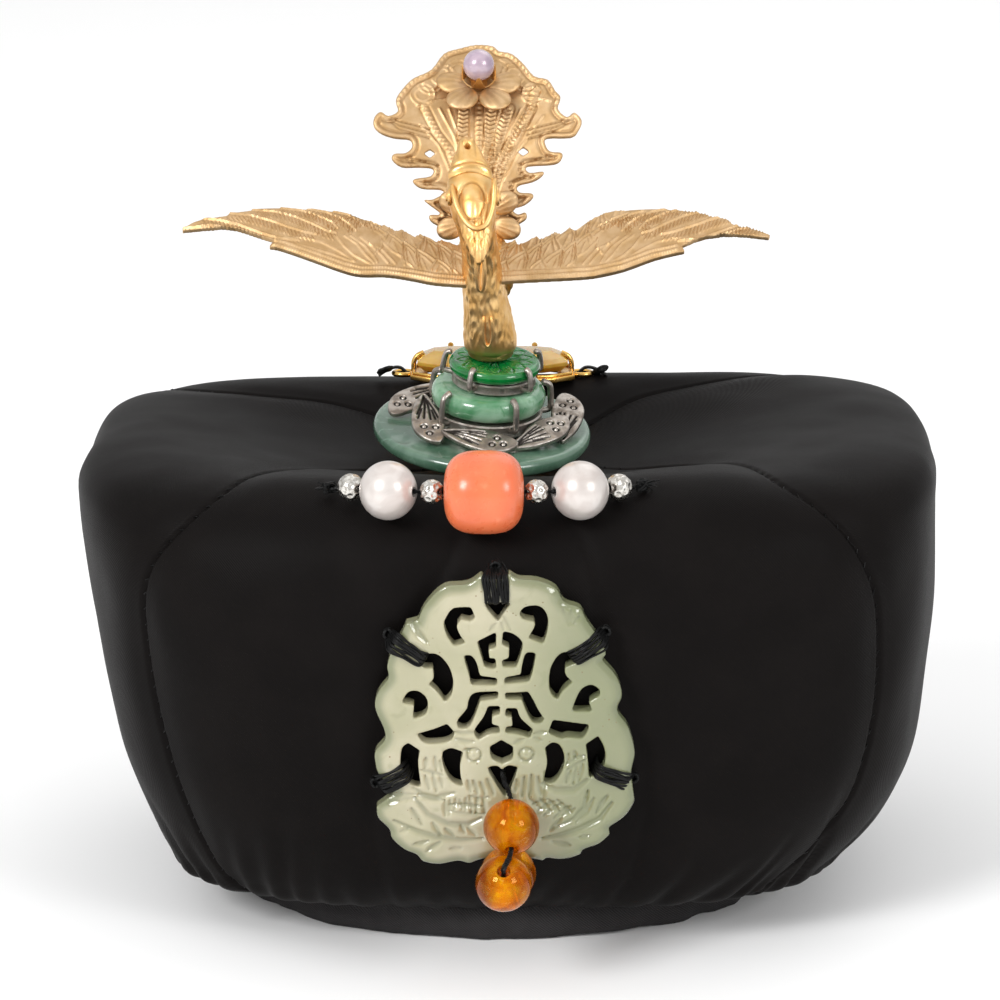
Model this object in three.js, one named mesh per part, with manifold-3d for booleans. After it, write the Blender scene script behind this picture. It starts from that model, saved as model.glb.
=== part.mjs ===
// A bridal coronet: a padded satin crown with a phoenix on a stack of jade,
// a string of beads on its front shoulder and a pierced jade plaque with three amber beads.
// Millimetres, +Z up, the wearer's front toward -Y, the hem standing on z = 0.
// Sizes are given from the middle of the crown, and the whole is then moved to the middle of its box.
import * as THREE from "three";
import { mergeVertices } from "three/addons/utils/BufferGeometryUtils.js";
import Module from "manifold-3d";

const wasm = await Module();
wasm.setup();

const TURN = Math.PI * 2;
const GAP = 0.3; // between pieces that touch
const CROWN_MIDDLE = new THREE.Vector3(0, 7.15, 0); // the beads reach further forward than the back

// Crown, from the crease above the hem, over the crest, to the dimple in the middle of the top.
// A section is a rounded square: half width, depth and power to the front and to the back,
// and how far its middle lies to the right.
const CROWN_COLUMNS = 56;
const CROWN_OUTSIDE = [
  { z: 7, half: 50, front: 43, back: 43, frontPower: 2.2, backPower: 2.2, shift: -1.5 },
  { z: 8, half: 59.5, front: 48, back: 48.5, frontPower: 3.3, backPower: 3, shift: -1.3 },
  { z: 12, half: 63, front: 52.3, back: 53.3, frontPower: 3.3, backPower: 3.2, shift: -0.6 },
  { z: 19, half: 67.2, front: 56, back: 58, frontPower: 3.2, backPower: 3.4, shift: 0.8 },
  { z: 30, half: 71.2, front: 60, back: 61, frontPower: 3.2, backPower: 3.7, shift: 1.4 },
  { z: 42, half: 73.6, front: 62.2, back: 63, frontPower: 3.2, backPower: 3.9, shift: 1.2 },
  { z: 55, half: 75.2, front: 63.6, back: 64, frontPower: 3.2, backPower: 4, shift: 0.6 },
  { z: 66, half: 76.1, front: 64, back: 63.5, frontPower: 3.2, backPower: 4.2, shift: 0.1 },
  { z: 74, half: 76.8, front: 62.5, back: 61, frontPower: 3.2, backPower: 4.4, shift: -0.1 },
  { z: 79.5, half: 76.6, front: 59, back: 54.5, frontPower: 3.2, backPower: 4.4, shift: 0 },
  { z: 83.4, half: 73, front: 53.5, back: 44.5, frontPower: 3.2, backPower: 4.2, shift: 0 },
  { z: 84.9, half: 64.5, front: 47, back: 36, frontPower: 3, backPower: 3.6, shift: 0 },
  { z: 83.6, half: 52, front: 38, back: 31, frontPower: 2.6, backPower: 2.8, shift: 0 },
  { z: 80.2, half: 38, front: 28, back: 25, frontPower: 2.3, backPower: 2.3, shift: 0 },
  { z: 77.4, half: 22, front: 20, back: 17, frontPower: 2, backPower: 2, shift: 0 },
  { z: 76.5, half: 10, front: 10, back: 9, frontPower: 2, backPower: 2, shift: 0 },
];
const CROWN_DIMPLE_Z = 76.3;
const CROWN_HOLLOW = [
  { z: 67, half: 16, depth: 14, power: 2 },
  { z: 66, half: 32, depth: 27, power: 2.2 },
  { z: 60, half: 48, depth: 41, power: 2.6 },
  { z: 48, half: 57, depth: 48, power: 3 },
  { z: 30, half: 57, depth: 48, power: 3 },
  { z: 16, half: 52, depth: 45, power: 2.8 },
  { z: 7, half: 45.5, depth: 39.8, power: 2.2 },
];
const HOLLOW_TOP_Z = 67.5;
const LEAN = 0.012; // the right shoulder of the crown stands a little higher
const SEAM_ANGLE = (41 * Math.PI) / 180; // of the four seams, from the sides
const SEAM_GROOVE = 1.6;
const SEAM_SPREAD = 0.06; // radians
const GORE_ANGLE = 0.27; // of the two shallow seams in the front, from the middle
const GORE_GROOVE = 0.5;
const GATHER_FOLDS = 16; // puckers above the hem
const GATHER_DEPTH = 1;
const CREASE_Z = 7; // under the folds, where the hem band begins
const SEAM_BUNCH = 0.12; // how far the columns of the skin crowd toward a seam

// Hem band, a folded facing under the crease
const HEM = { half: 50, depth: 42.4, power: 2.1, shift: -1.5 };
const HEM_WALL = 2.4;
const HEM_HEIGHT = 6.7;
const HEM_COLUMNS = 48;

// Jade plaque: its own frame lies on its back face, x to the right, y up, z out of the crown
const PLAQUE_THICK = 3;
const PLAQUE_AT = new THREE.Vector3(-1.6, -63.1, 45.5);
const PLAQUE_TILT = THREE.MathUtils.degToRad(7.5); // its lower end lies further back
const PLAQUE_ROLL = THREE.MathUtils.degToRad(2);

// Stack of jade on the crown, in its own frame that nods to the front
const STACK_AT = new THREE.Vector3(-5.1, 0, 82.7);
const STACK_NOD = THREE.MathUtils.degToRad(9.5);
const STACK_ROLL = THREE.MathUtils.degToRad(3.2);
const DISC = { radius: 19.75, low: -1.4, high: 1.4, edge: 0.9, x: 0 };
const MIDDLE = { radius: 10.35, low: 5, high: 9.4, edge: 1.2, x: 0.8 };
const TOP = { radius: 8.25, low: 11.9, high: 14.1, edge: 0.6, x: 1.6 };
const ROUND_SIDES = 24;

const BEAD_SIDES = 12;
const THREAD = 0.45; // radius
const PHOENIX_AT = new THREE.Vector3(TOP.x - 0.9, 0, TOP.high + GAP + 0.1);

const COLOURS = {
  satin: { color: 0x0d0c0c, roughness: 0.5, metalness: 0 },
  facing: { color: 0x1a1919, roughness: 0.8, metalness: 0 },
  thread: { color: 0x0a0a0b, roughness: 0.6, metalness: 0 },
  plaqueJade: { color: 0xbcc2a2, roughness: 0.3, metalness: 0 },
  greyJade: { color: 0x5c8a70, roughness: 0.15, metalness: 0 },
  paleJade: { color: 0x7aa888, roughness: 0.12, metalness: 0 },
  greenJade: { color: 0x0a7a24, roughness: 0.12, metalness: 0 },
  coral: { color: 0xe97a55, roughness: 0.15, metalness: 0 },
  pearl: { color: 0xe4dcd4, roughness: 0.2, metalness: 0 },
  lilacPearl: { color: 0xb9a2b4, roughness: 0.2, metalness: 0 },
  amber: { color: 0xc87008, roughness: 0.08, metalness: 0 },
  honey: { color: 0xcda040, roughness: 0.1, metalness: 0 },
  silver: { color: 0xd8d8d6, roughness: 0.3, metalness: 1 },
  oldSilver: { color: 0x7c746c, roughness: 0.4, metalness: 1 },
  gold: { color: 0xd8b070, roughness: 0.4, metalness: 1 },
};

const coronet = new THREE.Group();
coronet.name = "coronet";
coronet.position.copy(CROWN_MIDDLE);

function addMesh(parent, name, geometry, colour) {
  const mesh = new THREE.Mesh(geometry, new THREE.MeshStandardMaterial(COLOURS[colour]));
  mesh.name = name;
  parent.add(mesh);
  return mesh;
}

// Joins and cuts

function bareGeometry(geometry) {
  const bare = geometry.clone();
  bare.deleteAttribute("normal");
  bare.deleteAttribute("uv");
  return mergeVertices(bare, 1e-4);
}

function solidOf(geometry) {
  const bare = bareGeometry(geometry);
  return new wasm.Manifold(
    new wasm.Mesh({
      numProp: 3,
      vertProperties: new Float32Array(bare.attributes.position.array),
      triVerts: new Uint32Array(bare.index.array),
    }),
  );
}

function geometryOf(solid) {
  const mesh = solid.getMesh();
  const geometry = new THREE.BufferGeometry();
  geometry.setAttribute("position", new THREE.BufferAttribute(mesh.vertProperties, 3));
  geometry.setIndex(new THREE.BufferAttribute(mesh.triVerts, 1));
  geometry.computeVertexNormals();
  return geometry;
}

function fuse(geometries) {
  const solids = geometries.map(solidOf);
  return geometryOf(solids.slice(1).reduce((whole, piece) => whole.add(piece), solids[0]));
}

function cut(geometry, cutters) {
  const whole = solidOf(geometry);
  return geometryOf(cutters.reduce((rest, cutter) => rest.subtract(solidOf(cutter)), whole));
}

// Shapes

// A closed skin through rings of equally many points, each end closed by a fan to its middle.
function skinRings(rings, firstTip, lastTip) {
  const columns = rings[0].length;
  const points = [firstTip, ...rings.flat(), lastTip];
  const last = points.length - 1;
  const at = (row, column) => 1 + row * columns + (column % columns);
  const index = [];
  for (let column = 0; column < columns; column += 1) {
    index.push(0, at(0, column + 1), at(0, column));
    for (let row = 0; row < rings.length - 1; row += 1) {
      index.push(at(row, column), at(row, column + 1), at(row + 1, column + 1));
      index.push(at(row, column), at(row + 1, column + 1), at(row + 1, column));
    }
    index.push(last, at(rings.length - 1, column), at(rings.length - 1, column + 1));
  }
  const geometry = new THREE.BufferGeometry().setFromPoints(points);
  geometry.setIndex(index);
  geometry.computeVertexNormals();
  return geometry;
}

function middleOf(ring) {
  return ring
    .reduce((sum, point) => sum.add(point), new THREE.Vector3())
    .divideScalar(ring.length);
}

// An ellipse of points round a centre, in a plane that leans by an angle about the x axis.
function ovalRing({ x = 0, y, z, wide, deep, lean = 0 }, sides) {
  const ring = [];
  for (let side = 0; side < sides; side += 1) {
    const angle = (TURN * side) / sides;
    const across = deep * Math.sin(angle);
    ring.push(
      new THREE.Vector3(
        x + wide * Math.cos(angle),
        y + across * Math.cos(lean),
        z + across * Math.sin(lean),
      ),
    );
  }
  return ring;
}

function ovalLoft(rows, sides) {
  const rings = rows.map((row) => ovalRing(row, sides));
  return skinRings(rings, middleOf(rings[0]), middleOf(rings[rings.length - 1]));
}

function lathe(profile, sides) {
  const points = profile.map(([radius, height]) => new THREE.Vector2(radius, height));
  const geometry = new THREE.LatheGeometry(points, sides);
  geometry.rotateX(Math.PI / 2);
  return geometry;
}

// A wire or thread: a regular section along a curve.
function wire(curve, radius, steps, sides = 6) {
  const section = new THREE.Shape();
  for (let side = 0; side < sides; side += 1) {
    const angle = (TURN * side) / sides;
    const method = side === 0 ? "moveTo" : "lineTo";
    section[method](radius * Math.cos(angle), radius * Math.sin(angle));
  }
  return new THREE.ExtrudeGeometry(section, {
    steps,
    bevelEnabled: false,
    extrudePath: curve,
  });
}

function smoothCurve(points) {
  return new THREE.CatmullRomCurve3(points.map((point) => new THREE.Vector3(...point)));
}

function plate(outline, thick, holes = []) {
  const shape = new THREE.Shape(outline.map(([x, y]) => new THREE.Vector2(x, y)));
  for (const hole of holes) {
    shape.holes.push(new THREE.Path(hole.map(([x, y]) => new THREE.Vector2(x, y))));
  }
  return new THREE.ExtrudeGeometry(shape, { depth: thick, bevelEnabled: false });
}

// Crown and hem

function squareRadius(section, angle) {
  const inFront = Math.sin(angle) < 0;
  const depth = section.depth ?? (inFront ? section.front : section.back);
  const power = section.power ?? (inFront ? section.frontPower : section.backPower);
  const across = Math.abs(Math.cos(angle) / section.half) ** power;
  const along = Math.abs(Math.sin(angle) / depth) ** power;
  return (across + along) ** (-1 / power);
}

// Columns stand closer together at the four seams.
function columnAngle(column) {
  const angle = (TURN * column) / CROWN_COLUMNS;
  return angle - SEAM_BUNCH * Math.sin(4 * (angle - SEAM_ANGLE));
}

function seamNearness(angle, seam, spread) {
  const away = Math.abs(Math.atan2(Math.sin(angle - seam), Math.cos(angle - seam)));
  return Math.exp(-((away / spread) ** 2));
}

function grooveAt(angle) {
  const corners = [SEAM_ANGLE, Math.PI - SEAM_ANGLE, Math.PI + SEAM_ANGLE, -SEAM_ANGLE];
  const gores = [-Math.PI / 2 - GORE_ANGLE, -Math.PI / 2 + GORE_ANGLE];
  const deep = corners.map((seam) => SEAM_GROOVE * seamNearness(angle, seam, SEAM_SPREAD));
  const shallow = gores.map((seam) => GORE_GROOVE * seamNearness(angle, seam, SEAM_SPREAD));
  return [...deep, ...shallow].reduce((sum, groove) => sum + groove, 0);
}

function crownPoint(section, angle, groove) {
  const reach = squareRadius(section, angle);
  const upright = THREE.MathUtils.smoothstep(section.z, 66, 84);
  const gathered = 1 - THREE.MathUtils.smoothstep(section.z, 9, 26);
  const folded = section.z > CREASE_Z ? GATHER_DEPTH * gathered : 0;
  const fold = folded * Math.cos(GATHER_FOLDS * angle);
  const radius = reach - groove * (1 - 0.6 * upright) + fold;
  const x = radius * Math.cos(angle);
  return new THREE.Vector3(
    x + section.shift,
    radius * Math.sin(angle),
    section.z - groove * upright + LEAN * x * upright,
  );
}

function crownGeometry() {
  const outside = CROWN_OUTSIDE.map((section) => {
    const ring = [];
    for (let column = 0; column < CROWN_COLUMNS; column += 1) {
      const angle = columnAngle(column);
      const fade = THREE.MathUtils.smoothstep(squareRadius(section, angle), 8, 30);
      const rise = THREE.MathUtils.smoothstep(section.z, CREASE_Z, CREASE_Z + 5);
      ring.push(crownPoint(section, angle, grooveAt(angle) * fade * rise));
    }
    return ring;
  });
  const hollow = CROWN_HOLLOW.map((section) => {
    const ring = [];
    for (let column = 0; column < CROWN_COLUMNS; column += 1) {
      const angle = columnAngle(column);
      const radius = squareRadius(section, angle);
      ring.push(
        new THREE.Vector3(radius * Math.cos(angle), radius * Math.sin(angle), section.z),
      );
    }
    return ring;
  });
  const rings = [...outside.reverse(), ...hollow.reverse()].reverse();
  const hollowTip = new THREE.Vector3(0, 0, HOLLOW_TOP_Z);
  const dimple = new THREE.Vector3(0, 0, CROWN_DIMPLE_Z);
  return skinRings(rings, hollowTip, dimple);
}

function hemGeometry() {
  const outer = [];
  const inner = [];
  for (let column = 0; column < HEM_COLUMNS; column += 1) {
    const angle = (TURN * column) / HEM_COLUMNS;
    const radius = squareRadius(HEM, angle);
    const inside = radius - HEM_WALL;
    outer.push([radius * Math.cos(angle) + HEM.shift, radius * Math.sin(angle)]);
    inner.push([inside * Math.cos(angle) + HEM.shift, inside * Math.sin(angle)]);
  }
  return plate(outer, HEM_HEIGHT, [inner]);
}

addMesh(coronet, "crown", crownGeometry(), "satin");
addMesh(coronet, "hem_band", hemGeometry(), "facing");

// Jade plaque: the right half of its scalloped outline, from the top notch to the bottom notch.
const PLAQUE_EDGE = [
  [0, 27.4], [1.9, 27.4], [2.2, 29.2], [4.6, 27.7], [8, 27.3], [11.2, 24.4], [13.4, 22],
  [15.2, 20.7],
  [17.2, 16.4], [18.2, 13.7], [17.7, 12.9], [20, 9.4], [20.8, 6], [19.7, 2.7], [19.9, 0],
  [21.8, -3.2], [21.6, -7], [19.7, -9.8], [21.6, -13.4], [20.3, -16.2], [18.2, -17.8],
  [18.4, -19.2], [16.3, -21], [14, -22.2], [13.1, -23.2], [10, -23.8], [7.4, -23.4],
  [6.3, -23.9], [4.5, -23.2], [2.6, -21], [0, -19.9],
];
// Openings on the middle line, and those of the right half that the left half repeats.
const MIDDLE_OPENINGS = {
  diamond: [[-2.3, 24.3], [2.3, 24.3], [1.5, 22.9], [0, 20.9], [-1.5, 22.9]],
  hexagon: [[0, -0.8], [1.9, -2.1], [1.8, -4.3], [0, -5.2], [-1.8, -4.3], [-1.9, -2.1]],
  heart: [
    [-2.5, -5.9], [-1, -5.6], [0, -6.3], [1, -5.6], [2.5, -5.9], [2, -7.9], [0, -11.6],
    [-2, -7.9],
  ],
};
const SIDE_OPENINGS = {
  upperScroll: [
    [3.9, 22.2], [4.4, 21.2], [6.1, 20.8], [6.3, 19.8], [5.2, 17.6], [7.5, 16.7], [8.4, 18.8],
    [8.5, 21.1], [7.8, 22.8], [6.6, 23.5], [5, 23.5],
  ],
  upperFret: [
    [0.6, 19.1], [2.3, 18.4], [3.8, 17], [3.3, 14.8], [2.6, 12.6], [0.8, 12.4], [0.6, 14],
    [1.7, 14.2], [1.8, 16], [0.6, 16.5],
  ],
  upperAngle: [
    [6, 14.9], [4.9, 15], [4.1, 13], [3.5, 11.1], [0.6, 10.7], [0.6, 9.4], [4.9, 9.7],
    [5.3, 11.5], [5.9, 13.5],
  ],
  lowerAngle: [
    [0.6, 8], [4.4, 8], [5.4, 6.6], [6, 4.9], [7.2, 3], [7, 1.9], [5.6, 1.9], [4.6, 3.5],
    [3.5, 6.6], [0.6, 6.8],
  ],
  lowerFret: [
    [0.6, 5.3], [2.4, 5.3], [3.1, 3.4], [5, 1], [4.4, -0.6], [2.4, 0.3], [0.6, 0.6],
    [0.6, 1.7], [1.8, 2], [1.7, 3.5], [0.6, 3.8],
  ],
  bigScroll: [
    [12.8, 15.1], [10.4, 15], [8.7, 12.7], [8.1, 10.3], [8.3, 7.9], [9.4, 6.4], [10.4, 8],
    [12, 9.6], [11, 11], [11, 12.4], [13.2, 13.3],
  ],
  smallScroll: [
    [12.1, 4.9], [12.6, 6.9], [13.8, 8.4], [15.3, 8.7], [16.5, 7.7], [16.3, 6.7], [14.8, 6],
    [15, 3.9],
  ],
  slot: [[8.4, 2.5], [11.3, 1.8], [14.5, 1.2], [13.3, -0.9], [10.5, -0.8], [8.1, 0.3]],
  oval: [
    [14, -2.1], [16, -0.7], [17, -2.3], [17.3, -5], [16.4, -7.5], [14.2, -9], [14.4, -5],
  ],
  crescent: [
    [7, -2.6], [8.5, -1.8], [9.9, -2.5], [10.3, -4.2], [9.9, -6.5], [8.6, -8.7], [6.8, -9.2],
    [7.2, -7.3], [7.3, -5],
  ],
};

function mirrored(outline) {
  return outline.map(([x, y]) => [-x, y]).reverse();
}

const plaqueFrame = new THREE.Group();
plaqueFrame.position.copy(PLAQUE_AT);
plaqueFrame.rotation.set(Math.PI / 2 + PLAQUE_TILT, 0, 0);
const plaqueTurn = new THREE.Group();
plaqueTurn.rotation.z = PLAQUE_ROLL;
plaqueFrame.add(plaqueTurn);
coronet.add(plaqueFrame);

function plaqueGeometry() {
  const left = mirrored(PLAQUE_EDGE).slice(1, -1);
  const side = Object.values(SIDE_OPENINGS);
  const openings = [...Object.values(MIDDLE_OPENINGS), ...side, ...side.map(mirrored)];
  const cutters = openings.map((opening) => {
    const cutter = plate(opening, 3 * PLAQUE_THICK);
    cutter.translate(0, 0, -PLAQUE_THICK);
    return cutter;
  });
  return cut(plate([...PLAQUE_EDGE, ...left], PLAQUE_THICK), cutters);
}

addMesh(plaqueTurn, "jade_plaque", plaqueGeometry(), "plaqueJade");

// Threads that tie the plaque down: from outside its edge, over it, into an opening.
// reach and sink are how far the outer and the inner leg go below the plaque's back face.
const TOP_TIE = { x: 0, y: 27.7, inX: 0, inY: 24, wide: 3, reach: 4, sink: 2.6 };
const UPPER_TIE = { x: 17.9, y: 17.8, inX: 12.3, inY: 14.2, wide: 1.6, reach: 0.9, sink: 0.6 };
const LOWER_TIE = { x: 21.3, y: -9.5, inX: 15.9, inY: -6.8, wide: 3, reach: 0.3, sink: 0.1 };
const TIE_LEG = 0.8;
const TIE_BRIDGE = 0.9;
const TIE_CHAMFER = 0.4;

function tieGeometry({ x, y, inX, inY, wide, reach, sink }) {
  const span = Math.hypot(inX - x, inY - y);
  const under = PLAQUE_THICK + GAP;
  const over = under + TIE_BRIDGE;
  const arch = [
    [-TIE_LEG, -reach], [0, -reach], [0, under], [span, under], [span, -sink],
    [span + TIE_LEG, -sink], [span + TIE_LEG, over - TIE_CHAMFER], [span, over], [0, over],
    [-TIE_LEG, over - TIE_CHAMFER],
  ];
  const geometry = plate(arch, wide);
  geometry.translate(0, 0, -wide / 2);
  geometry.rotateX(Math.PI / 2);
  geometry.rotateZ(Math.atan2(inY - y, inX - x));
  geometry.translate(x, y, 0);
  return geometry;
}

function mirroredTie(tie) {
  return { ...tie, x: -tie.x, inX: -tie.inX };
}

addMesh(plaqueTurn, "plaque_tie_top", tieGeometry(TOP_TIE), "thread");
addMesh(plaqueTurn, "plaque_tie_upper_left", tieGeometry(mirroredTie(UPPER_TIE)), "thread");
addMesh(plaqueTurn, "plaque_tie_upper_right", tieGeometry(UPPER_TIE), "thread");
addMesh(plaqueTurn, "plaque_tie_lower_left", tieGeometry(mirroredTie(LOWER_TIE)), "thread");
addMesh(plaqueTurn, "plaque_tie_lower_right", tieGeometry(LOWER_TIE), "thread");

// A drilled bead along z: round, or a barrel with flat ends.
function beadGeometry({ radius, halfLength = radius, bore = 0.9, sides = BEAD_SIDES, rows = 6 }) {
  const profile = [];
  const start = Math.acos(Math.min(1, bore / radius));
  for (let row = 0; row <= rows; row += 1) {
    const angle = -start + (2 * start * row) / rows;
    profile.push([radius * Math.cos(angle), halfLength * Math.sin(angle)]);
  }
  profile.push([...profile[0]]);
  return lathe(profile, sides);
}

function barrelGeometry({ radius, halfLength, bore, shoulder, sides = 16 }) {
  const face = radius * 0.6;
  return lathe(
    [
      [bore, -halfLength], [face, -halfLength], [radius * 0.9, -halfLength + shoulder * 0.35],
      [radius, -halfLength + shoulder], [radius, halfLength - shoulder],
      [radius * 0.9, halfLength - shoulder * 0.35], [face, halfLength], [bore, halfLength],
      [bore, -halfLength],
    ],
    sides,
  );
}

function pointAlong(mesh, direction) {
  mesh.quaternion.setFromUnitVectors(new THREE.Vector3(0, 0, 1), direction.clone().normalize());
}

// Beads on the front shoulder, from the left
const SHOULDER_BEADS = [
  { name: "silver_bead_1", x: -26.9, y: -55.3, z: 85.6, radius: 2.2, colour: "silver" },
  { name: "pearl_left", x: -20.5, y: -59.6, z: 86.1, radius: 5, colour: "pearl" },
  { name: "silver_bead_2", x: -13.2, y: -61.2, z: 86.3, radius: 1.95, colour: "silver" },
  { name: "coral_bead", x: -4.5, y: -62.4, z: 86.5, radius: 7, halfLength: 6.7, colour: "coral" },
  { name: "silver_bead_3", x: 4.3, y: -61.2, z: 86.3, radius: 1.95, colour: "silver" },
  { name: "pearl_right", x: 11.6, y: -59.6, z: 86.1, radius: 5, colour: "pearl" },
  { name: "silver_bead_4", x: 18.2, y: -55.3, z: 85.6, radius: 2.2, colour: "silver" },
];
const THREAD_ENDS = [
  [-31.2, -52, 84.4],
  [22.6, -52, 84.9],
];
const BEAD_BORE = 1.1;

function placeShoulderBeads() {
  const centres = SHOULDER_BEADS.map((bead) => new THREE.Vector3(bead.x, bead.y, bead.z));
  const [first, last] = THREAD_ENDS.map((point) => new THREE.Vector3(...point));
  const stops = [first, ...centres, last];
  const path = [THREAD_ENDS[0]];
  SHOULDER_BEADS.forEach((bead, i) => {
    const direction = stops[i + 2].clone().sub(stops[i]).normalize();
    const half = bead.halfLength ?? bead.radius;
    const geometry = bead.halfLength
      ? barrelGeometry({ ...bead, bore: BEAD_BORE, shoulder: 3.2 })
      : beadGeometry({ ...bead, bore: BEAD_BORE });
    const mesh = addMesh(coronet, bead.name, geometry, bead.colour);
    mesh.position.copy(centres[i]);
    pointAlong(mesh, direction);
    for (const end of [-half, half]) {
      path.push(centres[i].clone().addScaledVector(direction, end).toArray());
    }
  });
  path.push(THREAD_ENDS[1]);
  addMesh(coronet, "bead_thread", wire(smoothCurve(path), THREAD, 30, 5), "thread");
}

placeShoulderBeads();

// Amber beads at the foot of the plaque, and the thread that strings them
const AMBER_RADIUS = 4.75;
const AMBER_BEADS = [
  { name: "amber_bead_top", x: 0.1, y: -69.3, z: 30.2, along: [0, 0.751, 0.658] },
  { name: "amber_bead_front", x: -1.2, y: -73.6, z: 21.6, along: [0, -0.697, 0.72] },
  { name: "amber_bead_rear", x: -0.4, y: -64.3, z: 20.1, along: [0, 0.96, 0.28] },
];
const AMBER_BORE = 1.6;

function placeAmberBeads() {
  for (const bead of AMBER_BEADS) {
    const geometry = beadGeometry({ radius: AMBER_RADIUS, bore: AMBER_BORE, rows: 8 });
    const mesh = addMesh(coronet, bead.name, geometry, "amber");
    mesh.position.set(bead.x, bead.y, bead.z);
    pointAlong(mesh, new THREE.Vector3(...bead.along));
  }
  const [top, front, rear] = AMBER_BEADS.map((bead) => ({
    centre: new THREE.Vector3(bead.x, bead.y, bead.z),
    along: new THREE.Vector3(...bead.along),
  }));
  const stop = (bead, distance) =>
    bead.centre.clone().addScaledVector(bead.along, distance).toArray();
  const path = [
    [-1.3, -62, 38.2],
    [-1.2, -64.6, 37.2],
    stop(top, AMBER_RADIUS),
    stop(top, -AMBER_RADIUS),
    [-0.6, -75.8, 26.2],
    stop(front, AMBER_RADIUS),
    stop(front, -AMBER_RADIUS * 0.9),
    stop(rear, -AMBER_RADIUS * 0.9),
    stop(rear, AMBER_RADIUS),
    [-0.4, -57.8, 21.9],
  ];
  addMesh(coronet, "amber_thread", wire(smoothCurve(path), THREAD, 28, 5), "thread");
}

placeAmberBeads();

// Stack of jade and its silver settings

const stack = new THREE.Group();
stack.position.copy(STACK_AT);
stack.rotation.set(STACK_NOD, STACK_ROLL, 0);
coronet.add(stack);

function cabochon({ radius, low, high, edge }) {
  const middle = (low + high) / 2;
  return lathe(
    [
      [0, low], [radius - edge * 1.6, low], [radius - edge * 0.4, low + edge * 0.6],
      [radius, middle], [radius - edge * 0.4, high - edge * 0.6], [radius - edge * 1.6, high],
      [0, high],
    ],
    ROUND_SIDES,
  );
}

function ringBand({ inner, outer, low, high }) {
  const profile = [[inner, low], [outer, low], [outer, high], [inner, high], [inner, low]];
  return lathe(profile, ROUND_SIDES);
}

// Claws that rise from a band, clear the stone's edge and bend in over its shoulder.
const CLAWS = 5;
const MIDDLE_CLAW = { from: 9.4, outer: 11.35, low: 3.9, high: 8.9, inner: 10.35, thick: 0.55 };
const TOP_CLAW = { from: 7, outer: 9.2, low: 10.6, high: 13.9, inner: 8.6, thick: 0.5 };
const MIDDLE_CLAW_FIRST = -136; // degrees
const TOP_CLAW_FIRST = -118;

function claw(angle, { from, outer, low, high, inner, thick }) {
  const top = high + thick;
  const curve = smoothCurve([
    [from, 0, low], [outer, 0, low + 0.4], [outer + 0.05, 0, (low + high) / 2],
    [outer - 0.1, 0, high - 0.2], [inner, 0, top],
  ]);
  const stem = wire(curve, thick, 5, 5);
  const tip = new THREE.SphereGeometry(thick * 1.35, 6, 4);
  tip.rotateX(Math.PI / 2);
  tip.translate(inner, 0, top);
  return [stem, tip].map((piece) => piece.rotateZ(angle));
}

function claws(shape, firstDegrees) {
  const made = [];
  for (let i = 0; i < CLAWS; i += 1) {
    made.push(...claw(THREE.MathUtils.degToRad(firstDegrees) + (TURN * i) / CLAWS, shape));
  }
  return made;
}

const LEAF_COUNT = 6;
const LEAF_RING = { radius: 11.6, x: 1.2, low: DISC.high + GAP, thick: 0.9 };
const LEAF_FIRST = THREE.MathUtils.degToRad(-97);
const LEAF_SWIRL = THREE.MathUtils.degToRad(14);
const LEAF_EDGE = [
  [-6.8, 0.2], [-4.6, -1.7], [-1.4, -2.9], [2.6, -2.8], [5.6, -1.2], [6.9, 0.8], [4.6, 1.9],
  [1.4, 2.5], [-2, 2.1], [-4.8, 1.2],
];

function leafGeometry(angle) {
  const leaf = plate(LEAF_EDGE, LEAF_RING.thick);
  leaf.rotateZ(angle + Math.PI / 2 + LEAF_SWIRL);
  leaf.translate(
    LEAF_RING.x + LEAF_RING.radius * Math.cos(angle),
    LEAF_RING.radius * Math.sin(angle),
    LEAF_RING.low,
  );
  return leaf;
}

const MIDDLE_BAND = { inner: 7.4, outer: 10, low: LEAF_RING.low + 0.6, high: MIDDLE.low - GAP };
const TOP_BAND = { inner: 4.6, outer: 7.6, low: MIDDLE.high + GAP, high: TOP.low - GAP };

function leafSettingGeometry() {
  const leaves = [];
  for (let leaf = 0; leaf < LEAF_COUNT; leaf += 1) {
    leaves.push(leafGeometry(LEAF_FIRST + (TURN * leaf) / LEAF_COUNT));
  }
  const seat = [ringBand(MIDDLE_BAND), ...claws(MIDDLE_CLAW, MIDDLE_CLAW_FIRST)];
  seat.forEach((piece) => piece.translate(MIDDLE.x, 0, 0));
  return fuse([...seat, ...leaves]);
}

function topSettingGeometry() {
  const setting = fuse([ringBand(TOP_BAND), ...claws(TOP_CLAW, TOP_CLAW_FIRST)]);
  setting.translate(TOP.x, 0, 0);
  return setting;
}

function addStone(name, stone, colour) {
  addMesh(stack, name, cabochon(stone), colour).position.x = stone.x;
}

addStone("jade_disc", DISC, "greyJade");
addMesh(stack, "leaf_setting", leafSettingGeometry(), "oldSilver");
addStone("middle_jade", MIDDLE, "paleJade");
addMesh(stack, "top_setting", topSettingGeometry(), "oldSilver");
addStone("top_jade", TOP, "greenJade");

// Phoenix in its own frame on the top jade: one casting, with the flowers and wires soldered on

const phoenixFrame = new THREE.Group();
phoenixFrame.position.copy(PHOENIX_AT);
phoenixFrame.rotation.y = -STACK_ROLL; // the bird stands upright on the tilted stack
stack.add(phoenixFrame);

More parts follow.
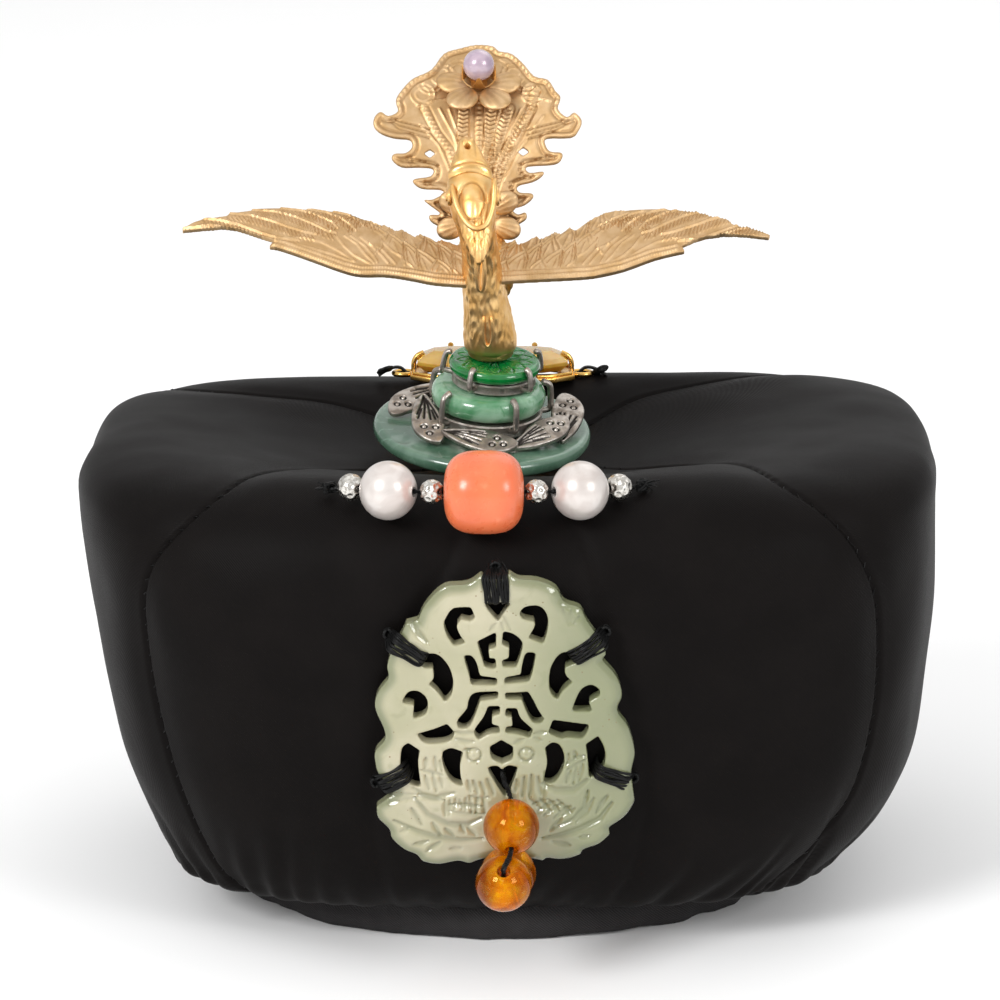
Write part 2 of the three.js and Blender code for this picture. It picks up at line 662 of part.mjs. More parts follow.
// Body, neck and head: sections up the bird, leaning where the neck bends forward.
const BODY = [
  { y: 0.4, z: 0, wide: 4.6, deep: 4.2 },
  { y: 0, z: 3.5, wide: 5.1, deep: 5 },
  { y: 0.4, z: 9, wide: 5.2, deep: 6 },
  { x: -0.3, y: 0.6, z: 14, wide: 5.2, deep: 6.4 },
  { x: -1, y: -0.8, z: 18.5, wide: 4.7, deep: 5 },
  { x: -1.6, y: -2.6, z: 22.5, wide: 4.1, deep: 4 },
  { x: -2.1, y: -4.6, z: 26, wide: 3.8, deep: 3.8 },
  { x: -2.5, y: -6.4, z: 30, wide: 3.7, deep: 4.4 },
  { x: -2.8, y: -6, z: 34, wide: 3.6, deep: 4.4 },
  { x: -3.3, y: -3.4, z: 37.4, wide: 3, deep: 3.4 },
  { x: -3.8, y: 0.2, z: 40, wide: 2, deep: 2.2 },
  { x: -4.2, y: 3, z: 42, wide: 0.8, deep: 0.9 },
];
const RUMP = [
  { x: -0.3, y: 2, z: 13, wide: 4.4, deep: 4.6, lean: -1.2 },
  { x: -0.8, y: 7, z: 15, wide: 4.6, deep: 4.2, lean: -1.1 },
  { x: -1.4, y: 11, z: 17.6, wide: 4.2, deep: 2.6, lean: -0.9 },
  { x: -1.9, y: 13.2, z: 20, wide: 3.4, deep: 1.1, lean: -0.6 },
];
const BEAK = [
  { x: -1.8, y: -16.2, z: 25.8, wide: 0.5, deep: 0.5, lean: -0.85 },
  { x: -1.9, y: -15, z: 27.2, wide: 1.2, deep: 1.2, lean: -0.85 },
  { x: -2.2, y: -12.4, z: 29.6, wide: 1.9, deep: 2, lean: -0.85 },
  { x: -2.6, y: -8.6, z: 32.6, wide: 2.6, deep: 3, lean: -0.85 },
];
const CHEEK_WIRE = [
  [-6.4, -7.6, 32.6], [-7, -9.4, 34.6], [-6.6, -11.8, 33.8], [-5.1, -13.2, 31.4],
  [-2.6, -14.1, 30.3], [-0.1, -13.2, 31.4], [1.2, -11.8, 33.8], [1.6, -9.4, 34.6],
  [1, -7.6, 32.6],
];
const TONGUE = [[-1.9, -14.4, 27], [-1.8, -14.2, 23.6], [-1.6, -11.4, 21.2], [-1.4, -6, 20.8]];

// Wing: for each step along the span, the leading and the trailing edge.
const WING = [
  { span: 3, leadY: -2, leadZ: 14.4, trailY: 8, trailZ: 17.7 },
  { span: 10, leadY: -1.8, leadZ: 14.6, trailY: 9.4, trailZ: 18.6 },
  { span: 17, leadY: -1, leadZ: 14.9, trailY: 11.8, trailZ: 19.9 },
  { span: 25, leadY: 0.5, leadZ: 15.9, trailY: 14.6, trailZ: 21.9 },
  { span: 32.5, leadY: 2.2, leadZ: 18, trailY: 14.8, trailZ: 23 },
  { span: 38.5, leadY: 3.9, leadZ: 19.8, trailY: 14.2, trailZ: 23.5 },
  { span: 41, leadY: 6.4, leadZ: 20.4, trailY: 13.9, trailZ: 23.3 },
  { span: 47, leadY: 7.6, leadZ: 21.6, trailY: 12.4, trailZ: 22.6 },
  { span: 56, leadY: 9.8, leadZ: 20.7, trailY: 10.6, trailZ: 20.9 },
];
const WING_THICK = 1.1;
const WING_CAMBER = 0.9;
const RIGHT_WING = 0.91; // its span as a share of the left wing's

function wingGeometry(side) {
  const rings = WING.map(({ span, leadY, leadZ, trailY, trailZ }, i) => {
    const x = side > 0 ? span * RIGHT_WING : -span;
    const lead = new THREE.Vector3(x, leadY, leadZ);
    const trail = new THREE.Vector3(x, trailY, trailZ);
    const taper = 1 - (0.5 * i) / (WING.length - 1);
    const half = (WING_THICK * taper) / 2;
    const rise = WING_CAMBER * taper;
    const ring = [
      [0, half], [0.3, half + rise], [0.7, half + rise * 0.8], [1, half * 0.6],
      [1, -half * 0.6], [0.6, rise * 0.6 - half], [0, -half],
    ].map(([part, up]) => {
      const point = lead.clone().lerp(trail, part);
      point.z += up;
      return point;
    });
    return side > 0 ? ring.reverse() : ring;
  });
  return skinRings(rings, middleOf(rings[0]), middleOf(rings[rings.length - 1]));
}

// Tail: a fan that bends back along its length, with hooked lobes down both edges.
const TAIL = { length: 38.6, x: -2, startY: 12, startZ: 18.4, startLean: 10, endLean: 63, thick: 1.1 };
const TAIL_HALF = [
  { at: 0, half: 6 },
  { at: 5, half: 7.2 },
  { at: 10, half: 8 },
  { at: 14, half: 9.4 },
  { at: 18, half: 12.6 },
  { at: 22, half: 14.2 },
  { at: 25, half: 14.3 },
  { at: 28, half: 12.8 },
  { at: 31, half: 10.4 },
  { at: 34, half: 7.4 },
  { at: 36.8, half: 4.4 },
  { at: 38.6, half: 1.2 },
];
const TAIL_LOBES = [
  { at: 20.2, from: 11, to: 18.2, wide: 3, hook: 3 },
  { at: 15, from: 8, to: 14.6, wide: 2.5, hook: 1.6 },
  { at: 10.8, from: 7, to: 11, wide: 2.2, hook: 1.4 },
  { at: 6.6, from: 6, to: 9.2, wide: 2.2, hook: 1.2 },
  { at: 2.6, from: 5, to: 8.2, wide: 2.2, hook: 1 },
];
const TAIL_EYE = { at: 16.8, across: 8.2, halfWide: 1.1, halfTall: 0.75 };

function tailFrame(at) {
  const steps = 24;
  const point = new THREE.Vector3(TAIL.x, TAIL.startY, TAIL.startZ);
  let lean = TAIL.startLean;
  for (let i = 0; i < steps; i += 1) {
    const along = (at * (i + 0.5)) / steps;
    lean = TAIL.startLean + ((TAIL.endLean - TAIL.startLean) * along) / TAIL.length;
    const angle = THREE.MathUtils.degToRad(lean);
    point.y += (Math.sin(angle) * at) / steps;
    point.z += (Math.cos(angle) * at) / steps;
  }
  const end = TAIL.startLean + ((TAIL.endLean - TAIL.startLean) * at) / TAIL.length;
  const angle = THREE.MathUtils.degToRad(end);
  return {
    point,
    up: new THREE.Vector3(0, Math.sin(angle), Math.cos(angle)),
    front: new THREE.Vector3(0, -Math.cos(angle), Math.sin(angle)),
  };
}

// Bends a flat plate, x across and y along the tail, round the tail's curve.
function bendToTail(geometry) {
  const positions = geometry.attributes.position;
  for (let i = 0; i < positions.count; i += 1) {
    const { point, front } = tailFrame(positions.getY(i));
    point.x += positions.getX(i);
    point.addScaledVector(front, positions.getZ(i));
    positions.setXYZ(i, point.x, point.y, point.z);
  }
  return geometry;
}

function tailBlade() {
  const half = TAIL.thick / 2;
  const rings = TAIL_HALF.map((row) => {
    const { point, front } = tailFrame(row.at);
    const cup = 0.06 * row.half;
    return [
      [-1, cup - half], [-0.5, -half - cup * 0.2], [0, -half - cup * 0.5], [0.5, -half - cup * 0.2],
      [1, cup - half], [1, cup + half], [0.5, half - cup * 0.2], [0, half],
      [-0.5, half - cup * 0.2], [-1, cup + half],
    ].map(([across, out]) => {
      const corner = point.clone().addScaledVector(front, out);
      corner.x -= across * row.half;
      return corner;
    });
  });
  return skinRings(rings, middleOf(rings[0]), middleOf(rings[rings.length - 1]));
}

function tailLobe({ at, from, to, wide, hook }, side) {
  const outline = [
    [from, at - wide / 2], [to - wide, at - wide / 2], [to - 0.4, at - wide * 0.1],
    [to, at + hook * 0.6], [to - 1, at + hook], [to - 1.8, at + wide * 0.35],
    [from, at + wide / 2],
  ];
  const edge = side < 0 ? mirrored(outline) : outline;
  const lobe = plate(edge, 1);
  lobe.translate(0, 0, -0.2);
  return bendToTail(lobe);
}

function tailEye(side) {
  const corners = 8;
  const outline = [];
  for (let i = 0; i < corners; i += 1) {
    const angle = (TURN * i) / corners;
    outline.push([
      side * TAIL_EYE.across + TAIL_EYE.halfWide * Math.cos(angle),
      TAIL_EYE.at + TAIL_EYE.halfTall * Math.sin(angle),
    ]);
  }
  const core = plate(outline, 5);
  core.translate(0, 0, -2.5);
  return bendToTail(core);
}

const UPPER_FLOWER = { at: 29.4, petals: 5, reach: 5.4, long: 3.4, wide: 2.8, first: -54 };
const LOWER_FLOWER = { at: 3.6, petals: 5, reach: 4.2, long: 2.8, wide: 2.1, first: -54 };
const TAIL_PEARL = 2.85;

function onTail(geometry, at, out) {
  const { point, up, front } = tailFrame(at);
  point.addScaledVector(front, out);
  const matrix = new THREE.Matrix4().makeBasis(new THREE.Vector3(1, 0, 0), up, front);
  geometry.applyMatrix4(matrix);
  geometry.translate(point.x, point.y, point.z);
  return geometry;
}

function petals({ at, petals: count, reach, long, wide, first }) {
  const made = [];
  for (let i = 0; i < count; i += 1) {
    const petal = new THREE.SphereGeometry(1, 8, 5);
    petal.scale(long, wide, 1);
    petal.translate(reach, 0, 0.5);
    petal.rotateZ(THREE.MathUtils.degToRad(first) + (TURN * i) / count);
    made.push(onTail(petal, at, TAIL.thick / 2));
  }
  return made;
}

const PEARL_OUT = 5.3; // from the tail's middle plane to the pearl's centre

function pearlCup() {
  const cup = lathe(
    [[0, -0.6], [2.6, -0.6], [2.6, 1], [3.6, 2.6], [3.2, 2.8], [1.4, 1.2], [0, 1.2]],
    10,
  );
  return onTail(cup, UPPER_FLOWER.at, TAIL.thick / 2);
}

function phoenixGeometry() {
  const sides = [-1, 1];
  const metal = [
    ovalLoft(BODY, 12),
    ovalLoft(RUMP, 10),
    ovalLoft(BEAK, 8),
    wire(smoothCurve(CHEEK_WIRE), 0.45, 22, 5),
    wire(smoothCurve(TONGUE), 0.4, 10, 5),
    tailBlade(),
    pearlCup(),
    ...petals(UPPER_FLOWER),
    ...petals(LOWER_FLOWER),
    ...sides.map(wingGeometry),
    ...sides.flatMap((side) => TAIL_LOBES.map((lobe) => tailLobe(lobe, side))),
  ];
  return cut(fuse(metal), sides.map(tailEye));
}

addMesh(phoenixFrame, "phoenix", phoenixGeometry(), "gold");
const pearlBall = new THREE.SphereGeometry(TAIL_PEARL, 14, 10);
const tailPearl = addMesh(phoenixFrame, "tail_pearl", pearlBall, "lilacPearl");
const pearlSeat = tailFrame(UPPER_FLOWER.at);
tailPearl.position.copy(pearlSeat.point).addScaledVector(pearlSeat.front, PEARL_OUT);

// Brooch behind the stack: a long faceted stone in a gold rim, tied at both ends

const BROOCH_AT = new THREE.Vector3(-3.2, 35, 86.5);
const STONE = { half: 14.2, deep: 6, girdle: 2, high: 4 };
const RIM = { thick: 1, out: 1.3, in: 1.9 };
const LOOP = { radius: 1.7, wire: 0.55, away: 2.6 };
const PRONG_XS = [-8, 0, 8];

function stoneRing(part, z) {
  const corner = 0.55;
  return [
    [1, -corner], [corner * 1.3, -1], [-corner * 1.3, -1], [-1, -corner],
    [-1, corner], [-corner * 1.3, 1], [corner * 1.3, 1], [1, corner],
  ]
    .reverse()
    .map(([x, y]) => new THREE.Vector3(x * (STONE.half - part), y * (STONE.deep - part), z));
}

function stoneGeometry() {
  const rings = [
    stoneRing(1.6, 0),
    stoneRing(0, STONE.girdle),
    stoneRing(1.4, STONE.high - 0.8),
    stoneRing(3, STONE.high),
  ];
  return skinRings(rings, middleOf(rings[0]), middleOf(rings[rings.length - 1]));
}

function prong(x, side) {
  const curve = smoothCurve([
    [x, side * (STONE.deep + 0.7), -0.8], [x, side * (STONE.deep + 1), 1.4],
    [x, side * (STONE.deep + 0.6), 2.8], [x, side * (STONE.deep - 0.5), 4],
  ]);
  return wire(curve, 0.5, 4, 5);
}

function broochSettingGeometry() {
  const outer = stoneRing(-RIM.out, 0).map((point) => [point.x, point.y]);
  const inner = stoneRing(RIM.in, 0).map((point) => [point.x, point.y]);
  const rim = plate(outer, RIM.thick, [inner.reverse()]);
  rim.translate(0, 0, -RIM.thick - GAP);
  const loops = [-1, 1].map((side) => {
    const loop = new THREE.TorusGeometry(LOOP.radius, LOOP.wire, 6, 10);
    loop.translate(side * (STONE.half + LOOP.away), 0, -RIM.thick / 2 - GAP);
    return loop;
  });
  const prongs = [-1, 1].flatMap((side) => PRONG_XS.map((x) => prong(x, side)));
  return fuse([rim, ...loops, ...prongs]);
}

const brooch = new THREE.Group();
brooch.position.copy(BROOCH_AT);
coronet.add(brooch);
addMesh(brooch, "brooch_setting", broochSettingGeometry(), "gold");
addMesh(brooch, "brooch_stone", stoneGeometry(), "honey");

const KNOT = { away: 6.5, radius: 1.5, tall: 0.8, z: -0.6 };

function addKnot(name, side) {
  const knot = new THREE.SphereGeometry(1, 8, 6);
  knot.scale(KNOT.radius, KNOT.radius, KNOT.tall);
  knot.translate(side * (STONE.half + KNOT.away), 0, KNOT.z);
  addMesh(brooch, name, knot, "thread");
}

addKnot("brooch_tie_left", -1);
addKnot("brooch_tie_right", 1);

export default coronet;
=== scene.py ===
# %% [markdown]
# A bridal coronet in Blender.
# The solids of the coronet are already made. This lesson loads them, gives each one a
# finer piece that sits in the same place, and paints every piece with procedural materials.
# %% Load the solids
import math
import random

import bpy
import numpy as np
from mathutils import Matrix, Vector, noise


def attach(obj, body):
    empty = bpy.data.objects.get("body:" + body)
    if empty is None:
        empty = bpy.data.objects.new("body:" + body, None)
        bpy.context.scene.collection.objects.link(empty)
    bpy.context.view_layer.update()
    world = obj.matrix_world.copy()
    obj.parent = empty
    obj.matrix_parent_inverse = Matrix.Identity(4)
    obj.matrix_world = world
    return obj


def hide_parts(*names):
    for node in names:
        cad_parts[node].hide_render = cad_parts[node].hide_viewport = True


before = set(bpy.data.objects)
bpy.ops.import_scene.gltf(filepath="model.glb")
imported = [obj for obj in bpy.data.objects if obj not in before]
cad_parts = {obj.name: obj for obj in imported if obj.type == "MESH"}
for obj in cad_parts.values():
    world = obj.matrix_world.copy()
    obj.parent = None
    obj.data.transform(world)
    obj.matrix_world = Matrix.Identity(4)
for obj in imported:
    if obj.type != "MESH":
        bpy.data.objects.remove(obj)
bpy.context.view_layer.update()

MM = 0.001
MIDDLE_Y = 7.15  # the crown's middle lies this far behind the middle of the whole, in mm
CROWN_FRAME = Matrix.Translation((0, MIDDLE_Y, 0))

# %% [markdown]
# The camera comes first. It looks down on the front by 14 degrees from three quarters of a metre,
# with a long lens, so the crown's top shows as a thin curved strip behind the stack of jade.
# %% Camera
CAMERA_TILT = math.radians(14)
CAMERA_AWAY = 0.75
CAMERA_AIM = Vector((-0.0018, MIDDLE_Y * MM, 0.0696))
CAMERA_LENS = 148.07
SENSOR_WIDTH = 36

bpy.ops.object.camera_add(
    location=CAMERA_AIM
    + CAMERA_AWAY * Vector((0, -math.cos(CAMERA_TILT), math.sin(CAMERA_TILT))),
    rotation=(math.pi / 2 - CAMERA_TILT, 0, 0),
)
camera = bpy.context.object
camera.data.lens = CAMERA_LENS
camera.data.sensor_width = SENSOR_WIDTH
camera.data.clip_end = 20
bpy.context.scene.camera = camera
print("camera at", tuple(round(c, 4) for c in camera.location))

# %% [markdown]
# A small studio: a pale floor that runs up into a backdrop, a bright surrounding, and soft panels.
# The two front panels are square and not too large, so they show as windows in the polished beads.
# %% Floor, backdrop and lights
FLOOR_SIZE = 6
BACKDROP_STEPS = ((0.25, 0.6), (0.6, 0.4), (3, 0.2))  # rise and run of each strip, in metres


def clear_selection():
    if bpy.context.object and bpy.context.object.mode != "OBJECT":
        bpy.ops.object.mode_set(mode="OBJECT")
    bpy.ops.object.select_all(action="DESELECT")


def panel(name, location, aim, size, power):
    clear_selection()
    bpy.ops.object.light_add(type="AREA", location=location)
    light = bpy.context.object
    light.name = name
    light.data.shape = "SQUARE"
    light.data.size = size
    light.data.energy = power
    light.rotation_euler = (Vector(aim) - Vector(location)).to_track_quat("-Z", "Y").to_euler()


def build_floor():
    clear_selection()
    bpy.ops.mesh.primitive_plane_add(size=FLOOR_SIZE, location=(0, 0, 0))
    floor = bpy.context.object
    floor.name = "studio_floor"
    bpy.ops.object.mode_set(mode="EDIT")
    bpy.ops.mesh.select_all(action="DESELECT")
    bpy.ops.object.mode_set(mode="OBJECT")
    for edge in floor.data.edges:
        edge.select = all(floor.data.vertices[i].co.y > FLOOR_SIZE * 0.48 for i in edge.vertices)
    bpy.ops.object.mode_set(mode="EDIT")
    for rise, back in BACKDROP_STEPS:
        bpy.ops.mesh.extrude_region_move(TRANSFORM_OT_translate={"value": (0, back, rise)})
    bpy.ops.object.mode_set(mode="OBJECT")
    bpy.ops.object.shade_smooth()
    paper = bpy.data.materials.new("backdrop_paper")
    paper.use_nodes = True
    shader = paper.node_tree.nodes["Principled BSDF"]
    shader.inputs["Base Color"].default_value = (0.93, 0.93, 0.93, 1)
    shader.inputs["Roughness"].default_value = 0.9
    floor.data.materials.append(paper)


build_floor()
panel("key_panel", (-0.75, -0.95, 0.75), (0, 0, 0.06), 0.42, 11)
panel("fill_panel", (0.85, -0.85, 0.6), (0, 0, 0.06), 0.42, 5)
panel("top_panel", (0, 0.2, 2.4), (0, 0.2, 0), 3.4, 14)
panel("rear_panel", (0.5, 1.0, 1.1), (0, 0.7, 0.0), 0.9, 2)

world = bpy.data.worlds.new("studio_air")
bpy.context.scene.world = world
world.use_nodes = True
world.node_tree.nodes["Background"].inputs["Color"].default_value = (1, 1, 1, 1)
world.node_tree.nodes["Background"].inputs["Strength"].default_value = 0.75
bpy.context.scene.view_settings.view_transform = "Standard"

# %% [markdown]
# Materials are small sums of noises and waves. Written as nodes they are long, so one small class
# wraps a socket and lets the sums be written as Python does, and another holds the material.
# %% Shader maths
class Signal:
    """A value that flows through the shader."""

    def __init__(self, paint, socket):
        self.paint = paint
        self.socket = socket

    def maths(self, operation, *inputs):
        return self.paint.node("ShaderNodeMath", {"operation": operation}, inputs)

    def __add__(self, other):
        return self.maths("ADD", self, other)

    def __sub__(self, other):
        return self.maths("SUBTRACT", self, other)

    def __mul__(self, other):
        return self.maths("MULTIPLY", self, other)

    def __radd__(self, other):
        return self.maths("ADD", other, self)

    def __rsub__(self, other):
        return self.maths("SUBTRACT", other, self)

    def __rmul__(self, other):
        return self.maths("MULTIPLY", other, self)

    def wave(self):
        return self.maths("SINE", self)

    def between(self, low, high):
        settings = {"interpolation_type": "SMOOTHSTEP"}
        return self.paint.node("ShaderNodeMapRange", settings, {0: self, 1: low, 2: high})


class Paint:
    """A material with one Principled shader; steady values are set on its sockets by name."""

    def __init__(self, name, **steady):
        self.material = bpy.data.materials.new(name)
        self.material.use_nodes = True
        self.tree = self.material.node_tree
        self.shader = self.tree.nodes["Principled BSDF"]
        for socket, value in steady.items():
            self.shader.inputs[socket.replace("_", " ")].default_value = value

    def node(self, kind, settings=None, inputs=(), output=0):
        made = self.tree.nodes.new(kind)
        for name, value in (settings or {}).items():
            if name == "stops":
                ramp = made.color_ramp
                while len(ramp.elements) < len(value):
                    ramp.elements.new(0.5)
                for element, (place, colour) in zip(ramp.elements, value):
                    element.position = place
                    element.color = (*colour, 1)
            else:
                setattr(made, name, value)
        pairs = inputs.items() if isinstance(inputs, dict) else enumerate(inputs)
        for key, value in pairs:
            if isinstance(value, Signal):
                self.tree.links.new(value.socket, made.inputs[key])
            else:
                made.inputs[key].default_value = value
        return Signal(self, made.outputs[output])

    def place(self):
        return self.node("ShaderNodeTexCoord", output="Object")

    def axes(self, vector):
        return [self.node("ShaderNodeSeparateXYZ", None, (vector,), i) for i in range(3)]

    def noise(self, size, detail=3, distortion=0.0):
        inputs = {"Vector": self.place(), "Scale": 1 / (size * MM), "Detail": detail}
        inputs["Distortion"] = distortion
        return self.node("ShaderNodeTexNoise", None, inputs)

    def cells(self, size):
        inputs = {"Vector": self.place(), "Scale": 1 / (size * MM)}
        return self.node("ShaderNodeTexVoronoi", None, inputs, "Distance")

    def kept(self, name):
        """A value that the mesh keeps for each of its points."""
        return self.node("ShaderNodeAttribute", {"attribute_name": name}, (), 2)

    def hollows(self, shallow, deep):
        return (self.kept("relief") * -1.0).between(shallow, deep)

    def ramp(self, signal, stops):
        return self.node("ShaderNodeValToRGB", {"stops": stops}, (signal,))

    def mix(self, factor, first, second):
        def full(colour):
            return colour if isinstance(colour, Signal) else (*colour, 1)

        inputs = {0: factor, 6: full(first), 7: full(second)}
        return self.node("ShaderNodeMix", {"data_type": "RGBA"}, inputs, 2)

    def feed(self, socket, signal):
        self.tree.links.new(signal.socket, self.shader.inputs[socket])

    def tint(self, signal, first, second, low=0.3, high=0.7):
        """The base colour goes from the first to the second as the signal rises."""
        self.feed("Base Color", self.mix(signal.between(low, high), first, second))

    def bump(self, height, distance, strength=1.0):
        inputs = {"Height": height, "Distance": distance * MM, "Strength": strength}
        self.feed("Normal", self.node("ShaderNodeBump", None, inputs))


def linear(red, green, blue):
    """A colour as a screen shows it, from 0 to 255, turned into the shader's own numbers."""
    parts = [c / 255 for c in (red, green, blue)]
    return tuple(c / 12.92 if c < 0.04 else ((c + 0.055) / 1.055) ** 2.4 for c in parts)


# %% [markdown]
# A few helpers shape the pieces. They all work in millimetres in a piece's own frame and then move
# the mesh itself to its place, so each object stays at the origin, unturned and unscaled.
# %% Helpers for pieces
def hand_over(piece, name, paint, nodes=(), frame_matrix=CROWN_FRAME, angle=40):
    """Places a piece that was made in millimetres, names and paints it, and hides the solids it stands in
    for.
    """
    piece.data.transform(Matrix.Scale(MM, 4) @ frame_matrix @ piece.matrix_world)
    piece.matrix_world = Matrix.Identity(4)
    piece.name = name
    piece.data.name = name
    piece.data.materials.clear()
    piece.data.materials.append(paint.material)
    activate(piece)
    bpy.ops.object.shade_smooth_by_angle(angle=math.radians(angle))
    clear_selection()
    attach(piece, "root")
    for node in nodes:
        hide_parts(node)
    print(name, len(piece.data.polygons), "faces")


def raw_mesh(name, points, faces):
    mesh = bpy.data.meshes.new(name)
    mesh.from_pydata([tuple(p) for p in points], [], [tuple(f) for f in faces])
    mesh.update()
    piece = bpy.data.objects.new(name, mesh)
    bpy.context.scene.collection.objects.link(piece)
    return piece


def activate(piece):
    clear_selection()
    piece.select_set(True)
    bpy.context.view_layer.objects.active = piece


def apply_modifier(piece, kind, **settings):
    activate(piece)
    modifier = piece.modifiers.new("shape", kind)
    for name, value in settings.items():
        setattr(modifier, name, value)
    bpy.ops.object.modifier_apply(modifier=modifier.name)


def face_outward(piece, bevel=0.0):
    activate(piece)
    bpy.ops.object.mode_set(mode="EDIT")
    bpy.ops.mesh.select_all(action="SELECT")
    bpy.ops.mesh.normals_make_consistent(inside=False)
    if bevel:
        bpy.ops.mesh.bevel(offset=bevel, segments=2)
    bpy.ops.object.mode_set(mode="OBJECT")


def ring_faces(rings, sides, closed=False):
    """Faces between rings of points that follow one another; closed joins the last to the first."""
    faces = []
    for ring in range(rings if closed else rings - 1):
        low, high = ring * sides, (ring + 1) % rings * sides
        for side in range(sides):
            n = (side + 1) % sides
            faces.append((low + side, low + n, high + n, high + side))
    return faces


def end_faces(rings, sides):
    """Fans that close both ends, round two middle points that follow the last ring."""
    last, middle = (rings - 1) * sides, rings * sides
    faces = []
    for side in range(sides):
        n = (side + 1) % sides
        faces += [(n, side, middle), (last + side, last + n, middle + 1)]
    return faces


def lay_chart(piece, chart):
    """Keeps each point's place on the flat cloth, for the weave."""
    layer = piece.data.uv_layers.new(name="cloth")
    corners = np.empty(len(piece.data.loops), dtype=int)
    piece.data.loops.foreach_get("vertex_index", corners)
    layer.data.foreach_set("uv", np.asarray(chart)[corners].ravel())


def joined(pieces):
    activate(pieces[0])
    for piece in pieces:
        piece.select_set(True)
    bpy.ops.object.join()
    return bpy.context.object


def turned(profile, steps=64):
    """Spins a closed profile of (radius, height) pairs round the z axis."""
    clear_selection()
    radius, height = profile[0]
    bpy.ops.mesh.primitive_plane_add(size=0.01, location=(0, 0, 0))
    piece = bpy.context.object
    bpy.ops.object.mode_set(mode="EDIT")
    bpy.ops.mesh.select_all(action="SELECT")
    bpy.ops.mesh.merge(type="CENTER")
    bpy.ops.transform.translate(value=(radius, 0, height))
    for (r0, z0), (r1, z1) in zip(profile, profile[1:]):
        bpy.ops.mesh.extrude_region_move(
            TRANSFORM_OT_translate={"value": (r1 - r0, 0, z1 - z0)}
        )
    bpy.ops.mesh.select_all(action="SELECT")
    bpy.ops.mesh.spin(steps=steps, angle=math.tau, center=(0, 0, 0), axis=(0, 0, 1))
    bpy.ops.mesh.select_all(action="SELECT")
    bpy.ops.mesh.remove_doubles(threshold=0.004)
    bpy.ops.mesh.normals_make_consistent(inside=False)
    bpy.ops.object.mode_set(mode="OBJECT")
    return piece


def curve_point(a, b, c, d, part):
    """A point on the smooth curve from b to c that comes from a and goes on to d."""
    bend, twist = 2 * a - 5 * b + 4 * c - d, 3 * b - 3 * c + d - a
    return 0.5 * (2 * b + (c - a) * part + bend * part**2 + twist * part**3)


def smooth_path(points, per=8, closed=False):
    """Points along the smooth curve through the given ones."""
    given = [Vector(p) for p in points]
    count = len(given)
    made = []
    for i in range(count if closed else count - 1):
        places = range(i - 1, i + 3)
        if closed:
            near = [given[p % count] for p in places]
        else:
            near = [given[min(max(p, 0), count - 1)] for p in places]
        made += [curve_point(*near, step / per) for step in range(per)]
    return made if closed else [*made, given[-1]]


def mesh_from_curve(curve, lines, closed=False, thickness=None):
    """Draws lines of points on a curve and turns it into a mesh."""
    for line in lines:
        spline = curve.splines.new("POLY")
        spline.use_cyclic_u = closed
        spline.points.add(len(line) - 1)
        for i, point in enumerate(line):
            spline.points[i].co = (*point, 1)
            spline.points[i].radius = thickness[i] if thickness else 1
    piece = bpy.data.objects.new(curve.name, curve)
    bpy.context.scene.collection.objects.link(piece)
    activate(piece)
    bpy.ops.object.convert(target="MESH")
    return bpy.context.object


def strand(points, radius, sides=1, thickness=None):
    """A thread or wire along points, as a closed mesh tube."""
    curve = bpy.data.curves.new("strand", "CURVE")
    curve.dimensions = "3D"
    curve.bevel_depth = radius
    curve.bevel_resolution = sides
    curve.use_fill_caps = True
    return mesh_from_curve(curve, [points], thickness=thickness)


def wire(points, radius, sides=1, per=6):
    return strand(smooth_path(points, per), radius, sides)


def plate(outline, holes, thick, rounded):
    """A flat plate with holes, from outlines in the x-y plane, its middle on z = 0."""
    curve = bpy.data.curves.new("plate", "CURVE")
    curve.dimensions = "2D"
    curve.fill_mode = "BOTH"
    curve.extrude = thick / 2 - rounded
    curve.bevel_depth = rounded
    curve.offset = -rounded
    curve.bevel_resolution = 2
    rings = [[(x, y, 0) for x, y in ring] for ring in (outline, *holes)]
    return mesh_from_curve(curve, rings, closed=True)


def positions(piece):
    flat = np.empty(len(piece.data.vertices) * 3)
    piece.data.vertices.foreach_get("co", flat)
    return flat.reshape(-1, 3)


def set_positions(piece, points):
    piece.data.vertices.foreach_set("co", np.asarray(points, dtype=float).ravel())
    piece.data.update()


def near_line(x, y, line):
    """For each point, its distance from a line of points and how far along the line it lies."""
    best = np.full(x.shape, 1e9)
    along = np.zeros(x.shape)
    run = 0.0
    for (x0, y0), (x1, y1) in zip(line, line[1:]):
        dx, dy = x1 - x0, y1 - y0
        length = math.hypot(dx, dy)
        if length < 1e-6:
            continue
        part = np.clip(((x - x0) * dx + (y - y0) * dy) / length**2, 0, 1)
        away = np.hypot(x - x0 - part * dx, y - y0 - part * dy)
        closer = away < best
        best = np.where(closer, away, best)
        along = np.where(closer, run + part * length, along)
        run += length
    return best, along


def step_between(low, high, value):
    """Rises softly from 0 at the low value to 1 at the high one."""
    part = np.clip((value - low) / (high - low), 0, 1)
    return part * part * (3 - 2 * part)


def ridge(away, width):
    """A rounded ridge: 1 on its line and nothing a few widths away."""
    return np.exp(-((away / width) ** 2))


def noise_at(places):
    return np.array([noise.noise(place) for place in places.tolist()])


